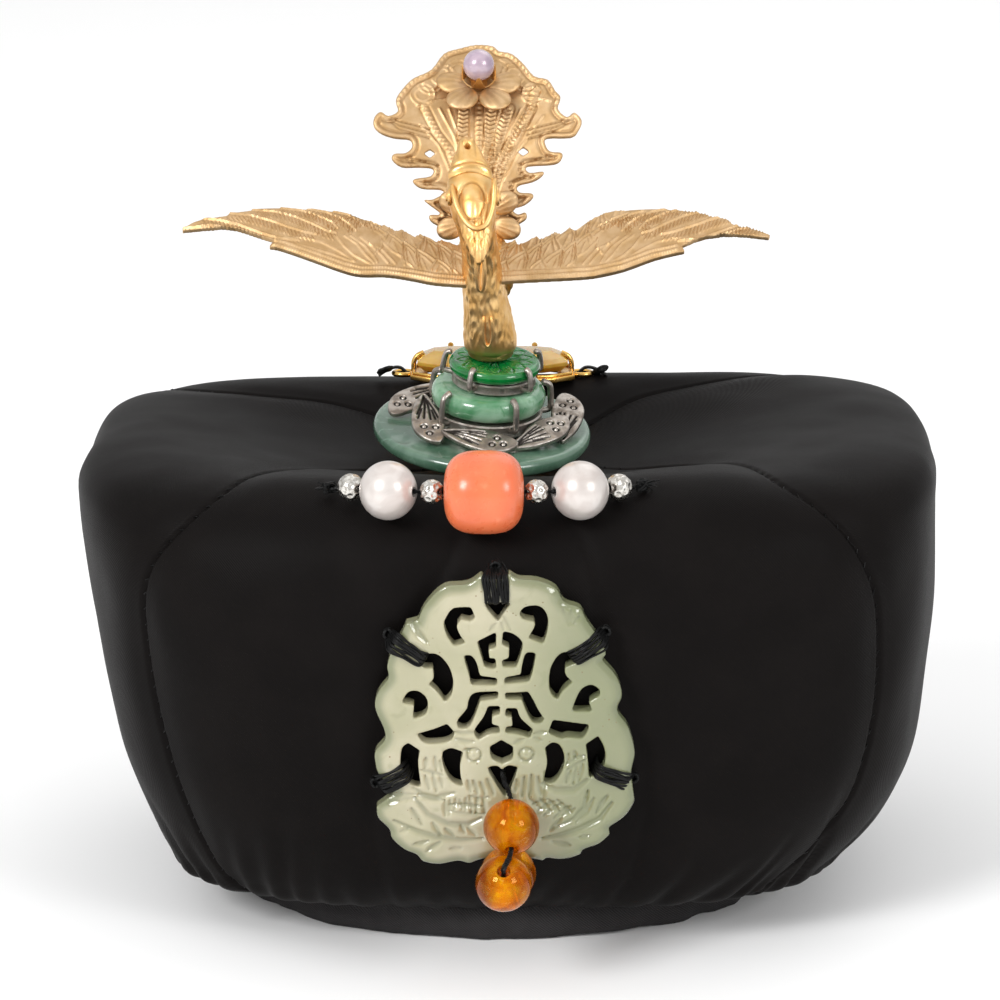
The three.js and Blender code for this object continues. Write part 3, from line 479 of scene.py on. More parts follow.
# %% [markdown]
# The crown is cut from satin gores that meet at four corner seams and are padded inside. Its form is
# given by a few rounded square sections, from the crease over the hem, up the wall, over the crest
# and down to the dimple under the jade, as in the solid. A fine skin is drawn through them in mesh
# code, because seams, gathers and slack have to run freely over the whole of a padded piece.
# %% Sections of the crown
# height, half width, depth and power to the front and to the back, shift to the right
CROWN_SECTIONS = np.array(
    [
        (7, 50, 43, 43, 2.2, 2.2, -1.5),
        (8, 59.5, 48, 48.5, 3.3, 3, -1.3),
        (12, 63, 52.3, 53.3, 3.3, 3.2, -0.6),
        (19, 67.2, 56, 58, 3.2, 3.4, 0.8),
        (30, 71.2, 60, 61, 3.2, 3.7, 1.4),
        (42, 73.6, 62.2, 63, 3.2, 3.9, 1.2),
        (55, 75.2, 63.6, 64, 3.2, 4, 0.6),
        (66, 76.1, 64, 63.5, 3.2, 4.2, 0.1),
        (74, 76.8, 62.5, 61, 3.2, 4.4, -0.1),
        (79.5, 76.6, 59, 54.5, 3.2, 4.4, 0),
        (83.4, 73, 53.5, 44.5, 3.2, 4.2, 0),
        (84.9, 64.5, 47, 36, 3, 3.6, 0),
        (83.6, 52, 38, 31, 2.6, 2.8, 0),
        (80.2, 38, 28, 25, 2.3, 2.3, 0),
        (77.4, 22, 20, 17, 2, 2, 0),
        (76.5, 10, 10, 9, 2, 2, 0),
    ]
)
HOLLOW_SECTIONS = np.array(
    [
        (7, 46, 40, 40, 2.2, 2.2, -1.3),
        (16, 52, 45, 45, 2.8, 2.8, 0),
        (30, 57, 48, 48, 3, 3, 0),
        (48, 57, 48, 48, 3, 3, 0),
        (60, 48, 41, 41, 2.6, 2.6, 0),
        (66, 32, 27, 27, 2.2, 2.2, 0),
        (67, 16, 14, 14, 2, 2, 0),
        (67.4, 4, 4, 4, 2, 2, 0),
    ]
)
# section number, angle in degrees from the wearer's left, for each seam
SEAMS = {
    "front_left": [(0, -137), (1.5, -138), (2.6, -141), (4.1, -142.5), (6, -143), (7.3, -142), (8, -139),
                   (8.6, -137), (9.6, -136), (10.25, -135), (11.8, -141), (13.3, -158), (15, -165)],
    "front_right": [(0, -44), (2.45, -43), (3.3, -39), (6.4, -37), (7.5, -40), (8.1, -42), (9, -44),
                    (9.7, -46), (10.65, -47), (12.6, -33), (13.5, -15), (15, -8)],
    "back_right": [(0, 40), (8, 38), (10.95, 37), (11.55, 44), (12.1, 47), (12.65, 51), (13.2, 55),
                   (15, 60)],
    "back_left": [(0, 141), (8, 143), (10.3, 152), (11.1, 155), (11.8, 149), (12.15, 141), (12.65, 133),
                  (15, 128)],
}
GORE_LINES = {
    "inner_left": [(0, -111), (2, -112), (3.2, -114), (4.45, -113), (5.1, -111), (7.9, -100),
                   (8.4, -98.5), (9.6, -96)],
    "inner_right": [(0, -69), (3.6, -69), (4.8, -70), (5.4, -72), (6.5, -76), (7.8, -78),
                    (8.9, -79), (9.6, -80)],
}


def between_sections(table, place):
    """A section at any place between the numbered ones."""
    i = int(min(max(math.floor(place), 0), len(table) - 2))
    near = [table[min(max(row, 0), len(table) - 1)] for row in range(i - 1, i + 3)]
    return curve_point(*near, place - i)


def on_section(section, angle):
    """Points of one section at an array of angles, and their distance from its middle."""
    z, half, front, back, front_power, back_power, shift = section
    ahead = np.sin(angle) < 0
    depth = np.where(ahead, front, back)
    power = np.where(ahead, front_power, back_power)
    across = np.abs(np.cos(angle) / half) ** power + np.abs(np.sin(angle) / depth) ** power
    reach = across ** (-1 / power)
    x = reach * np.cos(angle)
    upright = step_between(66, 84, z)
    points = np.stack([x + shift, reach * np.sin(angle), z + 0.012 * x * upright], axis=-1)
    return points, reach


def seam_angle(line, place):
    """A seam's angle at a place, with the corners of its line rounded off."""
    near = [np.interp(place + shift, *zip(*line)) for shift in (-0.7, -0.35, 0, 0.35, 0.7)]
    return math.radians(sum(near) / len(near))


# %% [markdown]
# The skin's columns crowd toward the seams, where the satin turns sharply into its grooves. Puckers
# rise from the hem, the longest at the corners, and soft noise lets the cloth hang a little slack.
# %% Skin of the crown
FRONT_COLUMNS = 150
SIDE_COLUMNS = 76
CROWD = 0.8  # how strongly the columns crowd at both ends of a gore
CREASE_Z = 7
CORNERS = (43, 137)
SLOPE_WIDTH = 4  # how far from a seam the padding slopes down to it
STITCH_PUCKERS = 3.1  # distance between the small puckers along a seam
PLACES = np.concatenate(
    [np.arange(0, 2, 0.06), np.arange(2, 8, 0.13), np.arange(8, 12, 0.09), np.arange(12, 15.01, 0.2)]
)
SEAM_ORDER = ["front_left", "front_right", "back_right", "back_left"]


def gore_angles(place):
    """Angles of a row's columns, denser toward the seams, and which gore each one is in."""
    ends = [seam_angle(SEAMS[name], place) for name in SEAM_ORDER]
    ends.append(ends[0] + math.tau)
    angles, gores = [], []
    for gore in range(len(SEAM_ORDER)):
        count = FRONT_COLUMNS if gore == 0 else SIDE_COLUMNS
        part = np.arange(count) / count
        part = part - CROWD * np.sin(math.tau * part) / math.tau
        angles.append(ends[gore] + (ends[gore + 1] - ends[gore]) * part)
        gores.append(np.full(count, gore))
    return np.concatenate(angles), np.concatenate(gores)


def gather_folds():
    """Puckers over the crease: angle, height that they reach, depth, width, slant."""
    seeded = random.Random(7)
    folds = []
    angle = -180.0
    while angle < 180:
        corner = min(abs(abs(angle) - at) for at in CORNERS) < 16
        reach = seeded.uniform(12, 28) if corner else seeded.uniform(7, 16)
        depth = seeded.uniform(1.3, 2.4) if corner else seeded.uniform(0.9, 2.1)
        folds.append((angle, reach, depth, seeded.uniform(0.9, 2.1), seeded.uniform(-0.35, 0.35)))
        angle += seeded.uniform(3.6, 6.5) if corner else seeded.uniform(4, 8)
    return folds


def turned_away(angle, centre):
    """How far angles lie from a centre, the short way round."""
    return np.abs(np.angle(np.exp(1j * (angle - centre))))


def crown_relief(angle, reach, place, z, arc):
    """How far the satin sinks in, for one row."""
    sunk = np.zeros_like(angle)
    fade = step_between(0.4, 1.4, place) * step_between(8, 26, reach)
    pucker = 1 + 0.35 * math.sin(arc * math.tau / STITCH_PUCKERS)
    for line in SEAMS.values():
        away = turned_away(angle, seam_angle(line, place)) * reach
        sunk += fade * (0.6 * pucker * ridge(away, 0.55) + 0.7 * ridge(away, SLOPE_WIDTH))
    strength = step_between(9.4, 8.2, place)
    for line in GORE_LINES.values():
        away = turned_away(angle, seam_angle(line, place)) * reach
        sunk += fade * strength * (0.55 * ridge(away, 0.8) + 0.35 * ridge(away, SLOPE_WIDTH))
    rise = z - CREASE_Z
    for at, height, depth, width, slant in FOLDS:
        if rise > height or place > 6:
            continue
        away = turned_away(angle, math.radians(at) + slant * rise / 60) * reach
        sunk += depth * (1 - rise / height) ** 1.5 * ridge(away, width)
    return sunk


FOLDS = gather_folds()


def crown_skin():
    """Rows of points from the crease to the top, and their places on the flat cloth."""
    rows, charts = [], []
    arc = 0.0
    before = None
    for place in PLACES:
        section = between_sections(CROWN_SECTIONS, place)
        angle, gore = gore_angles(place)
        points, reach = on_section(section, angle)
        if before is not None:
            arc += float(np.linalg.norm(points - before, axis=1).mean())
        before = points
        outward = np.stack([np.cos(angle), np.sin(angle), np.zeros_like(angle)], axis=-1)
        upright = step_between(9, 11.5, place)
        outward = outward * (1 - upright) + np.array([0, 0, 1.0]) * upright
        slack = 0.9 * noise_at(points / (26, 26, 22)) + 0.22 * noise_at(points / (9, 9, 13) + (5, 0, 0))
        sunk = crown_relief(angle, reach, place, points[:, 2].mean(), arc)
        sunk -= slack * step_between(0.5, 2.5, place)
        points = points - outward * sunk[:, None]
        rows.append(points)
        side = (gore == 1) | (gore == 3)
        across = np.where(side, points[:, 1], points[:, 0])
        charts.append(np.stack([across, np.full(len(angle), arc)], axis=-1))
    return rows, charts


def build_crown(paint):
    rows, charts = crown_skin()
    angle, _ = gore_angles(0)
    hollow = []
    for place in np.arange(0, 7.01, 0.35):
        hollow.append(on_section(between_sections(HOLLOW_SECTIONS, place), angle)[0])
    rings = hollow[::-1] + rows
    middles = [hollow[-1].mean(axis=0), rows[-1].mean(axis=0)]
    faces = ring_faces(len(rings), len(angle)) + end_faces(len(rings), len(angle))
    crown = raw_mesh("satin_crown", np.concatenate([*rings, middles]).tolist(), faces)
    inside = np.concatenate(rings[: len(hollow)])[:, [0, 2]]
    lay_chart(crown, np.concatenate([inside, *charts, np.zeros((2, 2))]) * MM)
    hand_over(crown, "satin_crown", paint, ["crown"], angle=75)
    return rows


# %% [markdown]
# Black silk satin is nearly black, with a soft grey sheen and fine slanting lines of the weave.
# The lines are waves over the gore's own flat chart, because a woven pattern lies with the cloth.
# %% Satin and facing
def weave(paint, spacing, slant):
    """Slanting lines and their broken height, from the piece's own chart."""
    chart = paint.node("ShaderNodeUVMap", {"uv_map": "cloth"})
    across, along, _ = paint.axes(chart)
    lines = ((across + along * slant) * (math.tau / (spacing * MM))).wave()
    threads = ((along - across * slant) * (math.tau / (spacing * 0.6 * MM))).wave()
    return lines, threads


satin = Paint("black_satin", Specular_IOR_Level=0.04)
lines, threads = weave(satin, 0.46, 0.8)
cloudy = satin.noise(11, 4)
satin.tint(cloudy, (0.0048, 0.004, 0.0038), (0.0062, 0.0051, 0.0048), high=0.75)
satin.feed("Roughness", 0.4 + cloudy * 0.12 + lines * 0.03)
satin.bump(lines * 0.6 + threads * 0.25 + satin.noise(0.5, 2) * 1.2 + satin.noise(4, 3) * 2.5, 0.03, 0.5)

facing = Paint("black_twill", Roughness=0.75, Specular_IOR_Level=0.2)
lines, threads = weave(facing, 0.62, 1.3)
# painted sheen: the twill lines are painted lighter, as if light caught the raised wales; the noise adds
# random tone
twill_sheen_and_tone = (lines * 0.5 + 0.5) * 0.6 + facing.noise(3, 3) * 0.4
facing.feed("Base Color", facing.mix(twill_sheen_and_tone, (0.012, 0.011, 0.011), (0.045, 0.042, 0.043)))
facing.bump(lines + threads * 0.5 + facing.noise(0.4, 2), 0.06, 0.7)

crown_rows = build_crown(satin)

# %% [markdown]
# The seams are closed by hand with small stitches that catch both gores. One stitch is modelled as
# a short bent thread and then set again and again along each seam, half sunk in the groove.
# %% Seam stitches
black_thread = Paint("black_thread", Roughness=0.4, Specular_IOR_Level=0.16)
black_thread.feed("Base Color", black_thread.mix(black_thread.noise(0.5), (0.002,) * 3, (0.006,) * 3))
black_thread.bump(black_thread.noise(0.25, 2), 0.05, 0.6)

FIRST_STITCHED_ROW = 24
STITCH_PITCH = 2.9
# place across the seam, share of the slant and height of each point of a stitch
STITCH = [(-0.6, -1, 0.05), (-0.25, -0.5, 0.22), (0.25, 0.5, 0.22), (0.6, 1, 0.05)]


def seam_points(gore):
    """The skin's points along the seam where a gore starts, from above the puckers to the top."""
    column = FRONT_COLUMNS + (gore - 1) * SIDE_COLUMNS if gore else 0
    return [Vector(row[column]) for row in crown_rows[FIRST_STITCHED_ROW:]]


def even_steps(points, pitch):
    """Places and directions at even steps along a line of points."""
    made, left = [], 0.0
    for a, b in zip(points, points[1:]):
        length = (b - a).length
        while left < length:
            made.append((a.lerp(b, left / length), (b - a).normalized()))
            left += pitch
        left -= length
    return made


def build_stitches():
    pieces = []
    for gore in range(len(SEAM_ORDER)):
        for at, along in even_steps(seam_points(gore), STITCH_PITCH):
            out = Vector((at.x, at.y, 0)).normalized() if at.z < 78 else Vector((0, 0, 1))
            across = along.cross(out).normalized()
            slip = along * 0.45
            path = [at + across * side + slip * share + out * high for side, share, high in STITCH]
            pieces.append(strand(path, 0.1, 0))
    hand_over(joined(pieces), "seam_stitches", black_thread)


build_stitches()

# %% [markdown]
# The hem band is a folded twill facing. It hangs a little uneven, with slack puckers where the
# gathered satin is sewn to it, so its ring of sections is moved in and out by soft noise.
# %% Hem band
HEM_COLUMNS = 300
HEM_SHIFT = -1.5
HEM_SECTION = (0, 50, 42.4, 42.4, 2.1, 2.1, HEM_SHIFT)
HEM_CHART_RADIUS = 46  # the cloth's map runs round a circle of about the hem's size
# how far outward and how high each point of the folded band lies
HEM_PROFILE = [(-2.4, 7.2), (-2.5, 3.5), (-2.2, 0.5), (-1.2, 0.0), (-0.3, 0.35), (0.15, 1.6),
               (0.25, 3.6), (0.0, 5.6), (-0.4, 7.2), (-1.4, 7.4)]


def build_hem(paint):
    points, chart = [], []
    for column in range(HEM_COLUMNS):
        angle = math.tau * column / HEM_COLUMNS
        base, reach = on_section(HEM_SECTION, np.array([angle]))
        x, y, _ = base[0]
        for out, z in HEM_PROFILE:
            swell = noise.noise((x / 7, y / 7, z / 9)) * 0.9
            swell += noise.noise((x / 2.6, y / 2.6, z / 5 + 3)) * 0.4
            lift = max(0.0, 1.1 * noise.noise((x / 9, y / 9, 9.0))) if z < 1 else 0.0
            push = 1 + (out + (swell if out > -2 else 0.0)) / reach[0]
            points.append(((x - HEM_SHIFT) * push + HEM_SHIFT, y * push, z + lift))
            chart.append((angle * HEM_CHART_RADIUS * MM, (z + out) * MM))
    hem = raw_mesh("hem_facing", points, ring_faces(HEM_COLUMNS, len(HEM_PROFILE), closed=True))
    lay_chart(hem, chart)
    hand_over(hem, "hem_facing", paint, ["hem_band"], angle=60)


build_hem(facing)

# %% [markdown]
# The plaque is one flat piece of jade, sawn to a scalloped outline, pierced, and engraved with a
# pair of ducks on a leaf. Its outlines are drawn as flat curves in its own frame, filled and given
# thickness, remeshed finely, and then the engraved lines are pressed into its front.
# %% Outlines of the plaque
PLAQUE_FRAME = (
    CROWN_FRAME
    @ Matrix.Translation((-1.6, -63.1, 45.5))
    @ Matrix.Rotation(math.radians(97.5), 4, "X")
    @ Matrix.Rotation(math.radians(2), 4, "Z")
)
PLAQUE_THICK = 3.0
EDGE_LEFT = [
    (1.2, 27.5), (2.2, 29.2), (4.7, 27.6), (8.6, 27.2), (11.8, 24.1), (13.1, 21.4), (15.1, 20.9),
    (16, 19), (17.5, 16.5), (18.6, 13.3), (18.5, 11), (20.3, 8.6), (21, 5.7), (19.7, 1.8), (19.6, -0.3),
    (21.3, -2.4), (21.4, -4.5), (20.8, -6.9), (18.3, -9.8), (19.5, -11.1), (21.6, -12.7), (21.4, -14.8),
    (19.6, -17), (19.2, -18.8), (17.2, -20.9), (15.1, -22), (14.1, -23.3), (11.4, -23.9), (8.2, -23.4),
    (6.3, -23.9), (4.8, -23.4), (0, -22.4),
]
EDGE_RIGHT = [
    (1.2, 27.5), (2.3, 29.3), (3.9, 28.2), (7, 27.8), (10, 26.3), (11.3, 23.8), (13.9, 22.6), (15, 20.2),
    (17.4, 16.2), (18, 14.1), (17.3, 13.1), (19.6, 10), (20.5, 6.6), (19.6, 3.7), (21.4, 0.5), (22.4, -4),
    (21.7, -7.7), (22, -11.5), (22, -13.4), (20.4, -16), (17.6, -18), (17.8, -19.3), (15.9, -21),
    (13.2, -22), (12.5, -23), (9.7, -23.7), (7, -23.4), (6.3, -23.9), (4.4, -23.4),
]
LEFT_HOLES = [
    [(4.2, 23.6), (3.6, 21.8), (4.3, 21.1), (5.9, 21.5), (6.7, 20.3), (6.2, 18.6), (5.3, 17.2),
     (7.3, 16.7), (8.4, 18.7), (8.8, 20.7), (8.4, 21.9), (7.3, 23.4), (5.7, 23.7)],
    [(0.2, 19), (1.6, 18.3), (3.4, 17.4), (2.9, 15.1), (2.3, 12.7), (0.9, 12.3), (0.4, 12.6), (0.5, 14.2),
     (1.5, 14.3), (1.6, 15.9), (0.3, 16.2)],
    [(5.7, 14.9), (4.5, 14.8), (3.7, 13.5), (3.2, 11.1), (0.3, 10.6), (0.4, 9.3), (4.7, 9.5), (5, 11.5),
     (5.4, 13.1)],
    [(0.2, 8.2), (4.1, 8), (5.2, 6.7), (5.6, 5.1), (7.2, 3.1), (7.2, 1.7), (5.9, 1.5), (4.8, 2.7),
     (3.3, 6.5), (0.3, 6.9)],
    [(0, 5.5), (2, 5.5), (2.8, 3.6), (4.5, 1), (3.9, -0.7), (2, 0.4), (0.2, 0.5), (0.3, 1.8), (1.5, 2.2),
     (1.4, 3.7), (0.1, 4)],
    [(12.9, 15.1), (11.4, 15.5), (9.8, 15), (8.3, 12.9), (7.7, 10.3), (8.1, 7.9), (9.2, 6.5), (10.3, 8.3),
     (11.8, 9.9), (10.9, 11), (11, 12.8), (12.6, 13), (13.4, 14.2)],
    [(16.3, 7), (15.3, 8.5), (13.8, 8.7), (12.5, 7.7), (12.1, 6.1), (12.7, 4.3), (14.7, 3.6), (14.4, 6.2),
     (16.2, 6.6)],
    [(14.2, 0.8), (11.3, 1.6), (9, 2.5), (7.8, 0.8), (8.5, -0.5), (10.2, -1), (12.9, -0.9)],
    [(16.8, -1.9), (15.7, -0.8), (13.8, -2.3), (14.2, -4.7), (13.9, -9.2), (15.7, -8.4), (17.1, -5.4)],
    [(9.9, -2.5), (8.5, -2), (6.5, -2.8), (7.1, -5), (7.1, -7.4), (6.6, -9.3), (8.5, -8.4), (9.7, -6.2),
     (10.1, -4.1)],
]
RIGHT_HOLES = [
    [(3.9, 22.2), (4.4, 21.2), (6.2, 20.7), (6.3, 19.8), (5.1, 17.7), (7.6, 16.6), (8.3, 18.8),
     (8.5, 21.1), (7.9, 22.8), (6.9, 23.5), (5.3, 23.5), (4.4, 23.1)],
    [(1, 19.1), (2.7, 18.5), (4.1, 16.9), (3.7, 14.6), (2.9, 12.5), (0.7, 12.6), (0.6, 13.8), (1.8, 14.2),
     (1.9, 16), (0.7, 16.7)],
    [(6.3, 14.9), (5.3, 15.1), (4.5, 14.7), (3.9, 12.5), (3.7, 11.2), (1, 10.7), (0.8, 9.5), (5, 9.9),
     (5.6, 11.5), (6.1, 13.8)],
    [(0.9, 7.9), (4.8, 8), (5.6, 6.4), (6.3, 4.7), (7.3, 2.8), (6.8, 2.1), (5.4, 2.3), (4.4, 4.4),
     (3.7, 6.6), (1, 6.7)],
    [(1, 5.1), (2.8, 5), (3.4, 3.1), (5.4, 0.9), (4.8, -0.6), (2.7, 0.2), (0.7, 0.5), (0.8, 1.6),
     (2, 1.7), (1.9, 3.4), (0.8, 3.6)],
    [(12.5, 15.2), (10.3, 14.6), (8.9, 12.6), (8.4, 10.3), (8.5, 7.9), (9.6, 6.2), (10.5, 7.8),
     (12.2, 9.4), (11.1, 10.9), (11.1, 12.2), (13.6, 13.2)],
    [(12, 4.1), (12.7, 6.1), (13.8, 8.1), (15.4, 8.8), (16.7, 8), (16.7, 6.9), (15.3, 6), (14.9, 5.7),
     (15.4, 4)],
    [(8.8, 2.6), (14.8, 1.6), (14.5, 0.4), (13.6, -0.9), (11.1, -0.6), (10.1, -0.8), (7.9, 0.2)],
    [(14.2, -2), (16.3, -0.6), (17.2, -2.7), (17.4, -4.8), (16.8, -6.6), (14.6, -8.5), (14.5, -5.4)],
    [(7.3, -2.5), (8.5, -1.6), (9.8, -2.1), (10.5, -4.3), (10.1, -6.7), (8.6, -9), (6.8, -9.2),
     (7.2, -7.2), (7.6, -5.1)],
]
MIDDLE_HOLES = [
    [(-2, 24.4), (2.6, 24.3), (1.6, 23), (0.2, 20.9), (-1.2, 22.8)],
    [(0, -0.8), (1.9, -2.1), (1.7, -4.3), (0, -5.2), (-1.7, -4.2), (-2, -2)],
    [(-2.4, -5.7), (-0.9, -5.6), (-0.1, -6.3), (1, -5.6), (2.6, -5.9), (1.8, -8.5), (0.4, -11.6),
     (-1, -9.3), (-2.2, -6.8)],
]
# engraved lines by their width and depth
ENGRAVING = {
    (0.5, 0.5): [
        [(-14.2, 21.1), (-13.1, 19.2), (-11.8, 17.6)],
    ],
    (0.35, 0.3): [
        [(11.1, 22.8), (11.5, 21.5), (12, 20)], [(12.4, 22.4), (12.3, 20.4)], [(13.7, 21.3), (12.7, 20.1)],
        [(2.1, -1.5), (3.8, -0.7)], [(-14.4, -10.5), (-12.4, -11.4), (-10.1, -11.6)],
        [(-9.4, -20.8), (-7.5, -20.7)], [(-16.3, -16.8), (-17.7, -17.2)], [(14.3, -19.1), (12.6, -19.4)],
    ],
    (0.3, 0.3): [
        [(1.1, 21.8), (1.6, 20.6), (2.2, 19.4)], [(0.7, 20.8), (1, 19.3)], [(-1.2, 19.4), (-0.2, 20.6)],
        [(-9.1, -12.5), (-6.4, -12.8), (-3.7, -13.1)], [(-9.1, -13.8), (-6.4, -14.3), (-3.4, -14.5)],
    ],
    (0.4, 0.35): [
        [(-7.8, 0.9), (-6.3, 0.7), (-4.7, 0.7)], [(-7.7, -0.3), (-6.1, -0.8), (-4.6, -0.9)],
        [(7.6, 0.4), (6.4, 0.2), (5.4, 0.1)], [(6.7, -1.1), (5.5, -0.5)],
        [(10.9, -20.8), (9.2, -20.3), (7.9, -20)], [(7.1, -6.9), (7.1, -9.2), (6.6, -11.8)],
    ],
    (0.4, 0.4): [
        [(-6.4, -2.5), (-5.4, -2.3)], [(-5.9, -8.1), (-5.6, -10.2)], [(-5, -8.1), (-4.4, -10.6)],
        [(-3.8, -8.5), (-3.2, -10.8)], [(-2.6, -7.9), (-1.7, -10.9)], [(2.3, -8.3), (1.9, -10.5)],
        [(3.6, -7.8), (3.1, -11.6)], [(4.8, -7.5), (4.3, -11.6)], [(5.9, -7.9), (6.2, -11.4)],
        [(-15.7, -13), (-14.1, -16.1)], [(-12.2, -15.8), (-10.9, -18.4)], [(-10.1, -17), (-8.7, -18.4)],
        [(-7.4, -16.7), (-6.8, -17.9)], [(-6.3, -17.1), (-5, -18.5)],
        [(-13, -19.1), (-14.4, -19.6), (-15.6, -19.7)], [(-11, -19.5), (-12.4, -20.3), (-13.4, -21.1)],
        [(17.5, -11.8), (16.6, -13.2), (15.6, -14.9)],
        [(14.3, -10.6), (13.6, -13.8), (11.7, -15.9), (9, -17.3)], [(9.6, -15.7), (7.6, -18)],
    ],
    (0.35, 0.35): [
        [(-12.8, -3.6), (-13.1, -5.6)], [(-11.3, -3.5), (-11.2, -6.1)], [(-10.5, -4.1), (-10.2, -6.3)],
        [(-13.9, -5.9), (-11.9, -6.4), (-10.1, -6.9)], [(-13.1, -6.9), (-12.6, -9.6)],
        [(-11.8, -6.8), (-11.3, -10.1)], [(-10.6, -7.1), (-10.3, -9.2)], [(-10, -11.7), (-10, -14.5)],
        [(-9.1, -11.6), (-9.4, -14.5)], [(-8, -11.3), (-8.5, -13.6)], [(-7.5, -11.5), (-7.1, -13.6)],
        [(-6.3, -11.3), (-6.6, -13.8)], [(-5.7, -11.4), (-5.5, -14.3)], [(-4.5, -11.6), (-4.8, -14.5)],
        [(-3.5, -11.8), (-3.2, -14.6)], [(15.2, -12.1), (14, -14.6), (12.1, -16.5)],
        [(4.9, -13.1), (7.1, -12.2)], [(5.6, -14.3), (8.5, -12.5)], [(6.6, -15.1), (9.7, -13)],
        [(8.4, -15.6), (11.2, -13.4)], [(9.8, -15.2), (11.9, -13.9)], [(4.3, -12), (6.1, -13.8)],
        [(6.1, -11.9), (7.8, -14.4)], [(7.5, -12.1), (9.4, -14.5)], [(9, -12.2), (11.3, -14.8)],
        [(11.2, -3.6), (10.9, -5.4)], [(12.2, -3.2), (12.3, -4.5)],
        [(10.6, -5.9), (12.5, -4.5), (13.9, -4.1)], [(10.9, -6.6), (14, -4.9)],
        [(11.5, -6.7), (10.6, -9.1)], [(12.5, -6.2), (11.8, -9.5)], [(13.5, -5.7), (12.7, -9)],
    ],
    (0.5, 0.4): [
        [(-15.2, -9.2), (-13.6, -10.5), (-11.4, -11.1), (-8.3, -10.3)],
        [(6.7, -9.3), (8.9, -10.4), (11.9, -10.4), (14.2, -8.6)],
    ],
    (0.55, 0.45): [
        [(-15, -11.3), (-12.9, -14.2), (-9.6, -16.1), (-6.2, -16.4), (-3.8, -15.2)],
    ],
    (0.5, 0.45): [
        [(-18.7, -15.2), (-15, -17.2), (-11.7, -18.5), (-7.6, -19.2), (-3.7, -19.1)],
        [(18.3, -13.1), (16.1, -16.1), (12.7, -17.8), (9.3, -18.9), (6.2, -19.4)],
    ],
    (0.4, 0.3): [
        [(-19.2, -10.8), (-17.1, -10.4), (-15, -10.4)], [(-19.5, -11.9), (-17, -11.3), (-14.6, -11)],
    ],
    (0.5, 0.35): [
        [(-5.7, -11), (-4.3, -11.6), (-2.6, -11.4)],
    ],
}
DUCK_EYES = [(-4.7, -3.4), (4.1, -3.7)]


def mirror_x(points):
    return [(-x, y) for x, y in points]


def eased(ring, sharp=48, per=4):
    """A smooth closed outline that keeps the sharp corners of the given one."""
    count = len(ring)
    given = [Vector(p) for p in ring]

    def is_corner(i):
        before, after = given[i] - given[i - 1], given[(i + 1) % count] - given[i]
        return math.degrees(before.angle(after)) > sharp

    made = []
    for i in range(count):
        b, c = given[i], given[(i + 1) % count]
        a = 2 * b - c if is_corner(i) else given[i - 1]
        d = 2 * c - b if is_corner((i + 1) % count) else given[(i + 2) % count]
        for step in range(per):
            made.append(curve_point(a, b, c, d, step / per))
    return made


# %% [markdown]
# The plate is remeshed into a fine even skin. Every engraved line then sinks it by how far each
# point is from the line, and the same values go with the mesh, so that painted shade can darken them.
# %% Plaque
EDGE_BAND = (2.2, 0.4)  # the jade turns darker from the first distance to the second


def stamped(outline, holes, thick, voxel, rounded, smoothing):
    """A finely remeshed flat plate, ready for relief."""
    piece = plate(outline, holes, thick, rounded)
    apply_modifier(piece, "REMESH", mode="VOXEL", voxel_size=voxel)
    apply_modifier(piece, "SMOOTH", factor=0.5, iterations=smoothing)
    return piece


def keep(piece, name, values):
    """Gives each point of the mesh a value that its material can read."""
    layer = piece.data.attributes.new(name, "FLOAT", "POINT")
    layer.data.foreach_set("value", np.asarray(values, dtype=float))


def plaque_relief(x, y, edge):
    """Height of the engraved front, and how far each point is from the outline."""
    height = np.zeros_like(x)
    for (width, depth), lines in ENGRAVING.items():
        for line in lines:
            away, run = near_line(x, y, line)
            swell = 0.5 + 0.75 * np.sin(math.pi * run / run.max())
            height -= depth * 1.15 * ridge(away, width * swell)
    for ex, ey in DUCK_EYES:
        away = np.hypot(x - ex, y - ey)
        height -= 0.45 * ridge(away - 1.15, 0.28)
        height += 0.25 * ridge(away, 0.7) - 0.3 * ridge(away, 0.22)
    rim, _ = near_line(x, y, edge)
    slope = 1.7 - 0.6 * step_between(-8, 6, x)
    height -= 0.7 * np.clip((slope - rim) / slope, 0, 1)
    return height, rim


def build_plaque(paint):
    edge = mirror_x(EDGE_LEFT) + list(reversed(EDGE_RIGHT))
    holes = [mirror_x(hole) for hole in LEFT_HOLES] + RIGHT_HOLES + MIDDLE_HOLES
    soft_edge = eased(edge)
    piece = stamped(soft_edge, [eased(hole, 58) for hole in holes], PLAQUE_THICK, 0.235, 0.2, 3)
    points = positions(piece)
    x, y, z = points.T
    relief, rim = plaque_relief(x, y, soft_edge + soft_edge[:1])
    front = step_between(0.6, 1.35, z)
    wobble = noise_at(points * (1 / 9, 1 / 9, 0) + (0, 0, 4))
    points[:, 2] += front * (relief + 0.25 * wobble) + PLAQUE_THICK / 2
    set_positions(piece, points)
    keep(piece, "relief", front * relief)
    keep(piece, "edge", step_between(*EDGE_BAND, rim))
    hand_over(piece, "pierced_plaque", paint, ["jade_plaque"], PLAQUE_FRAME, 60)


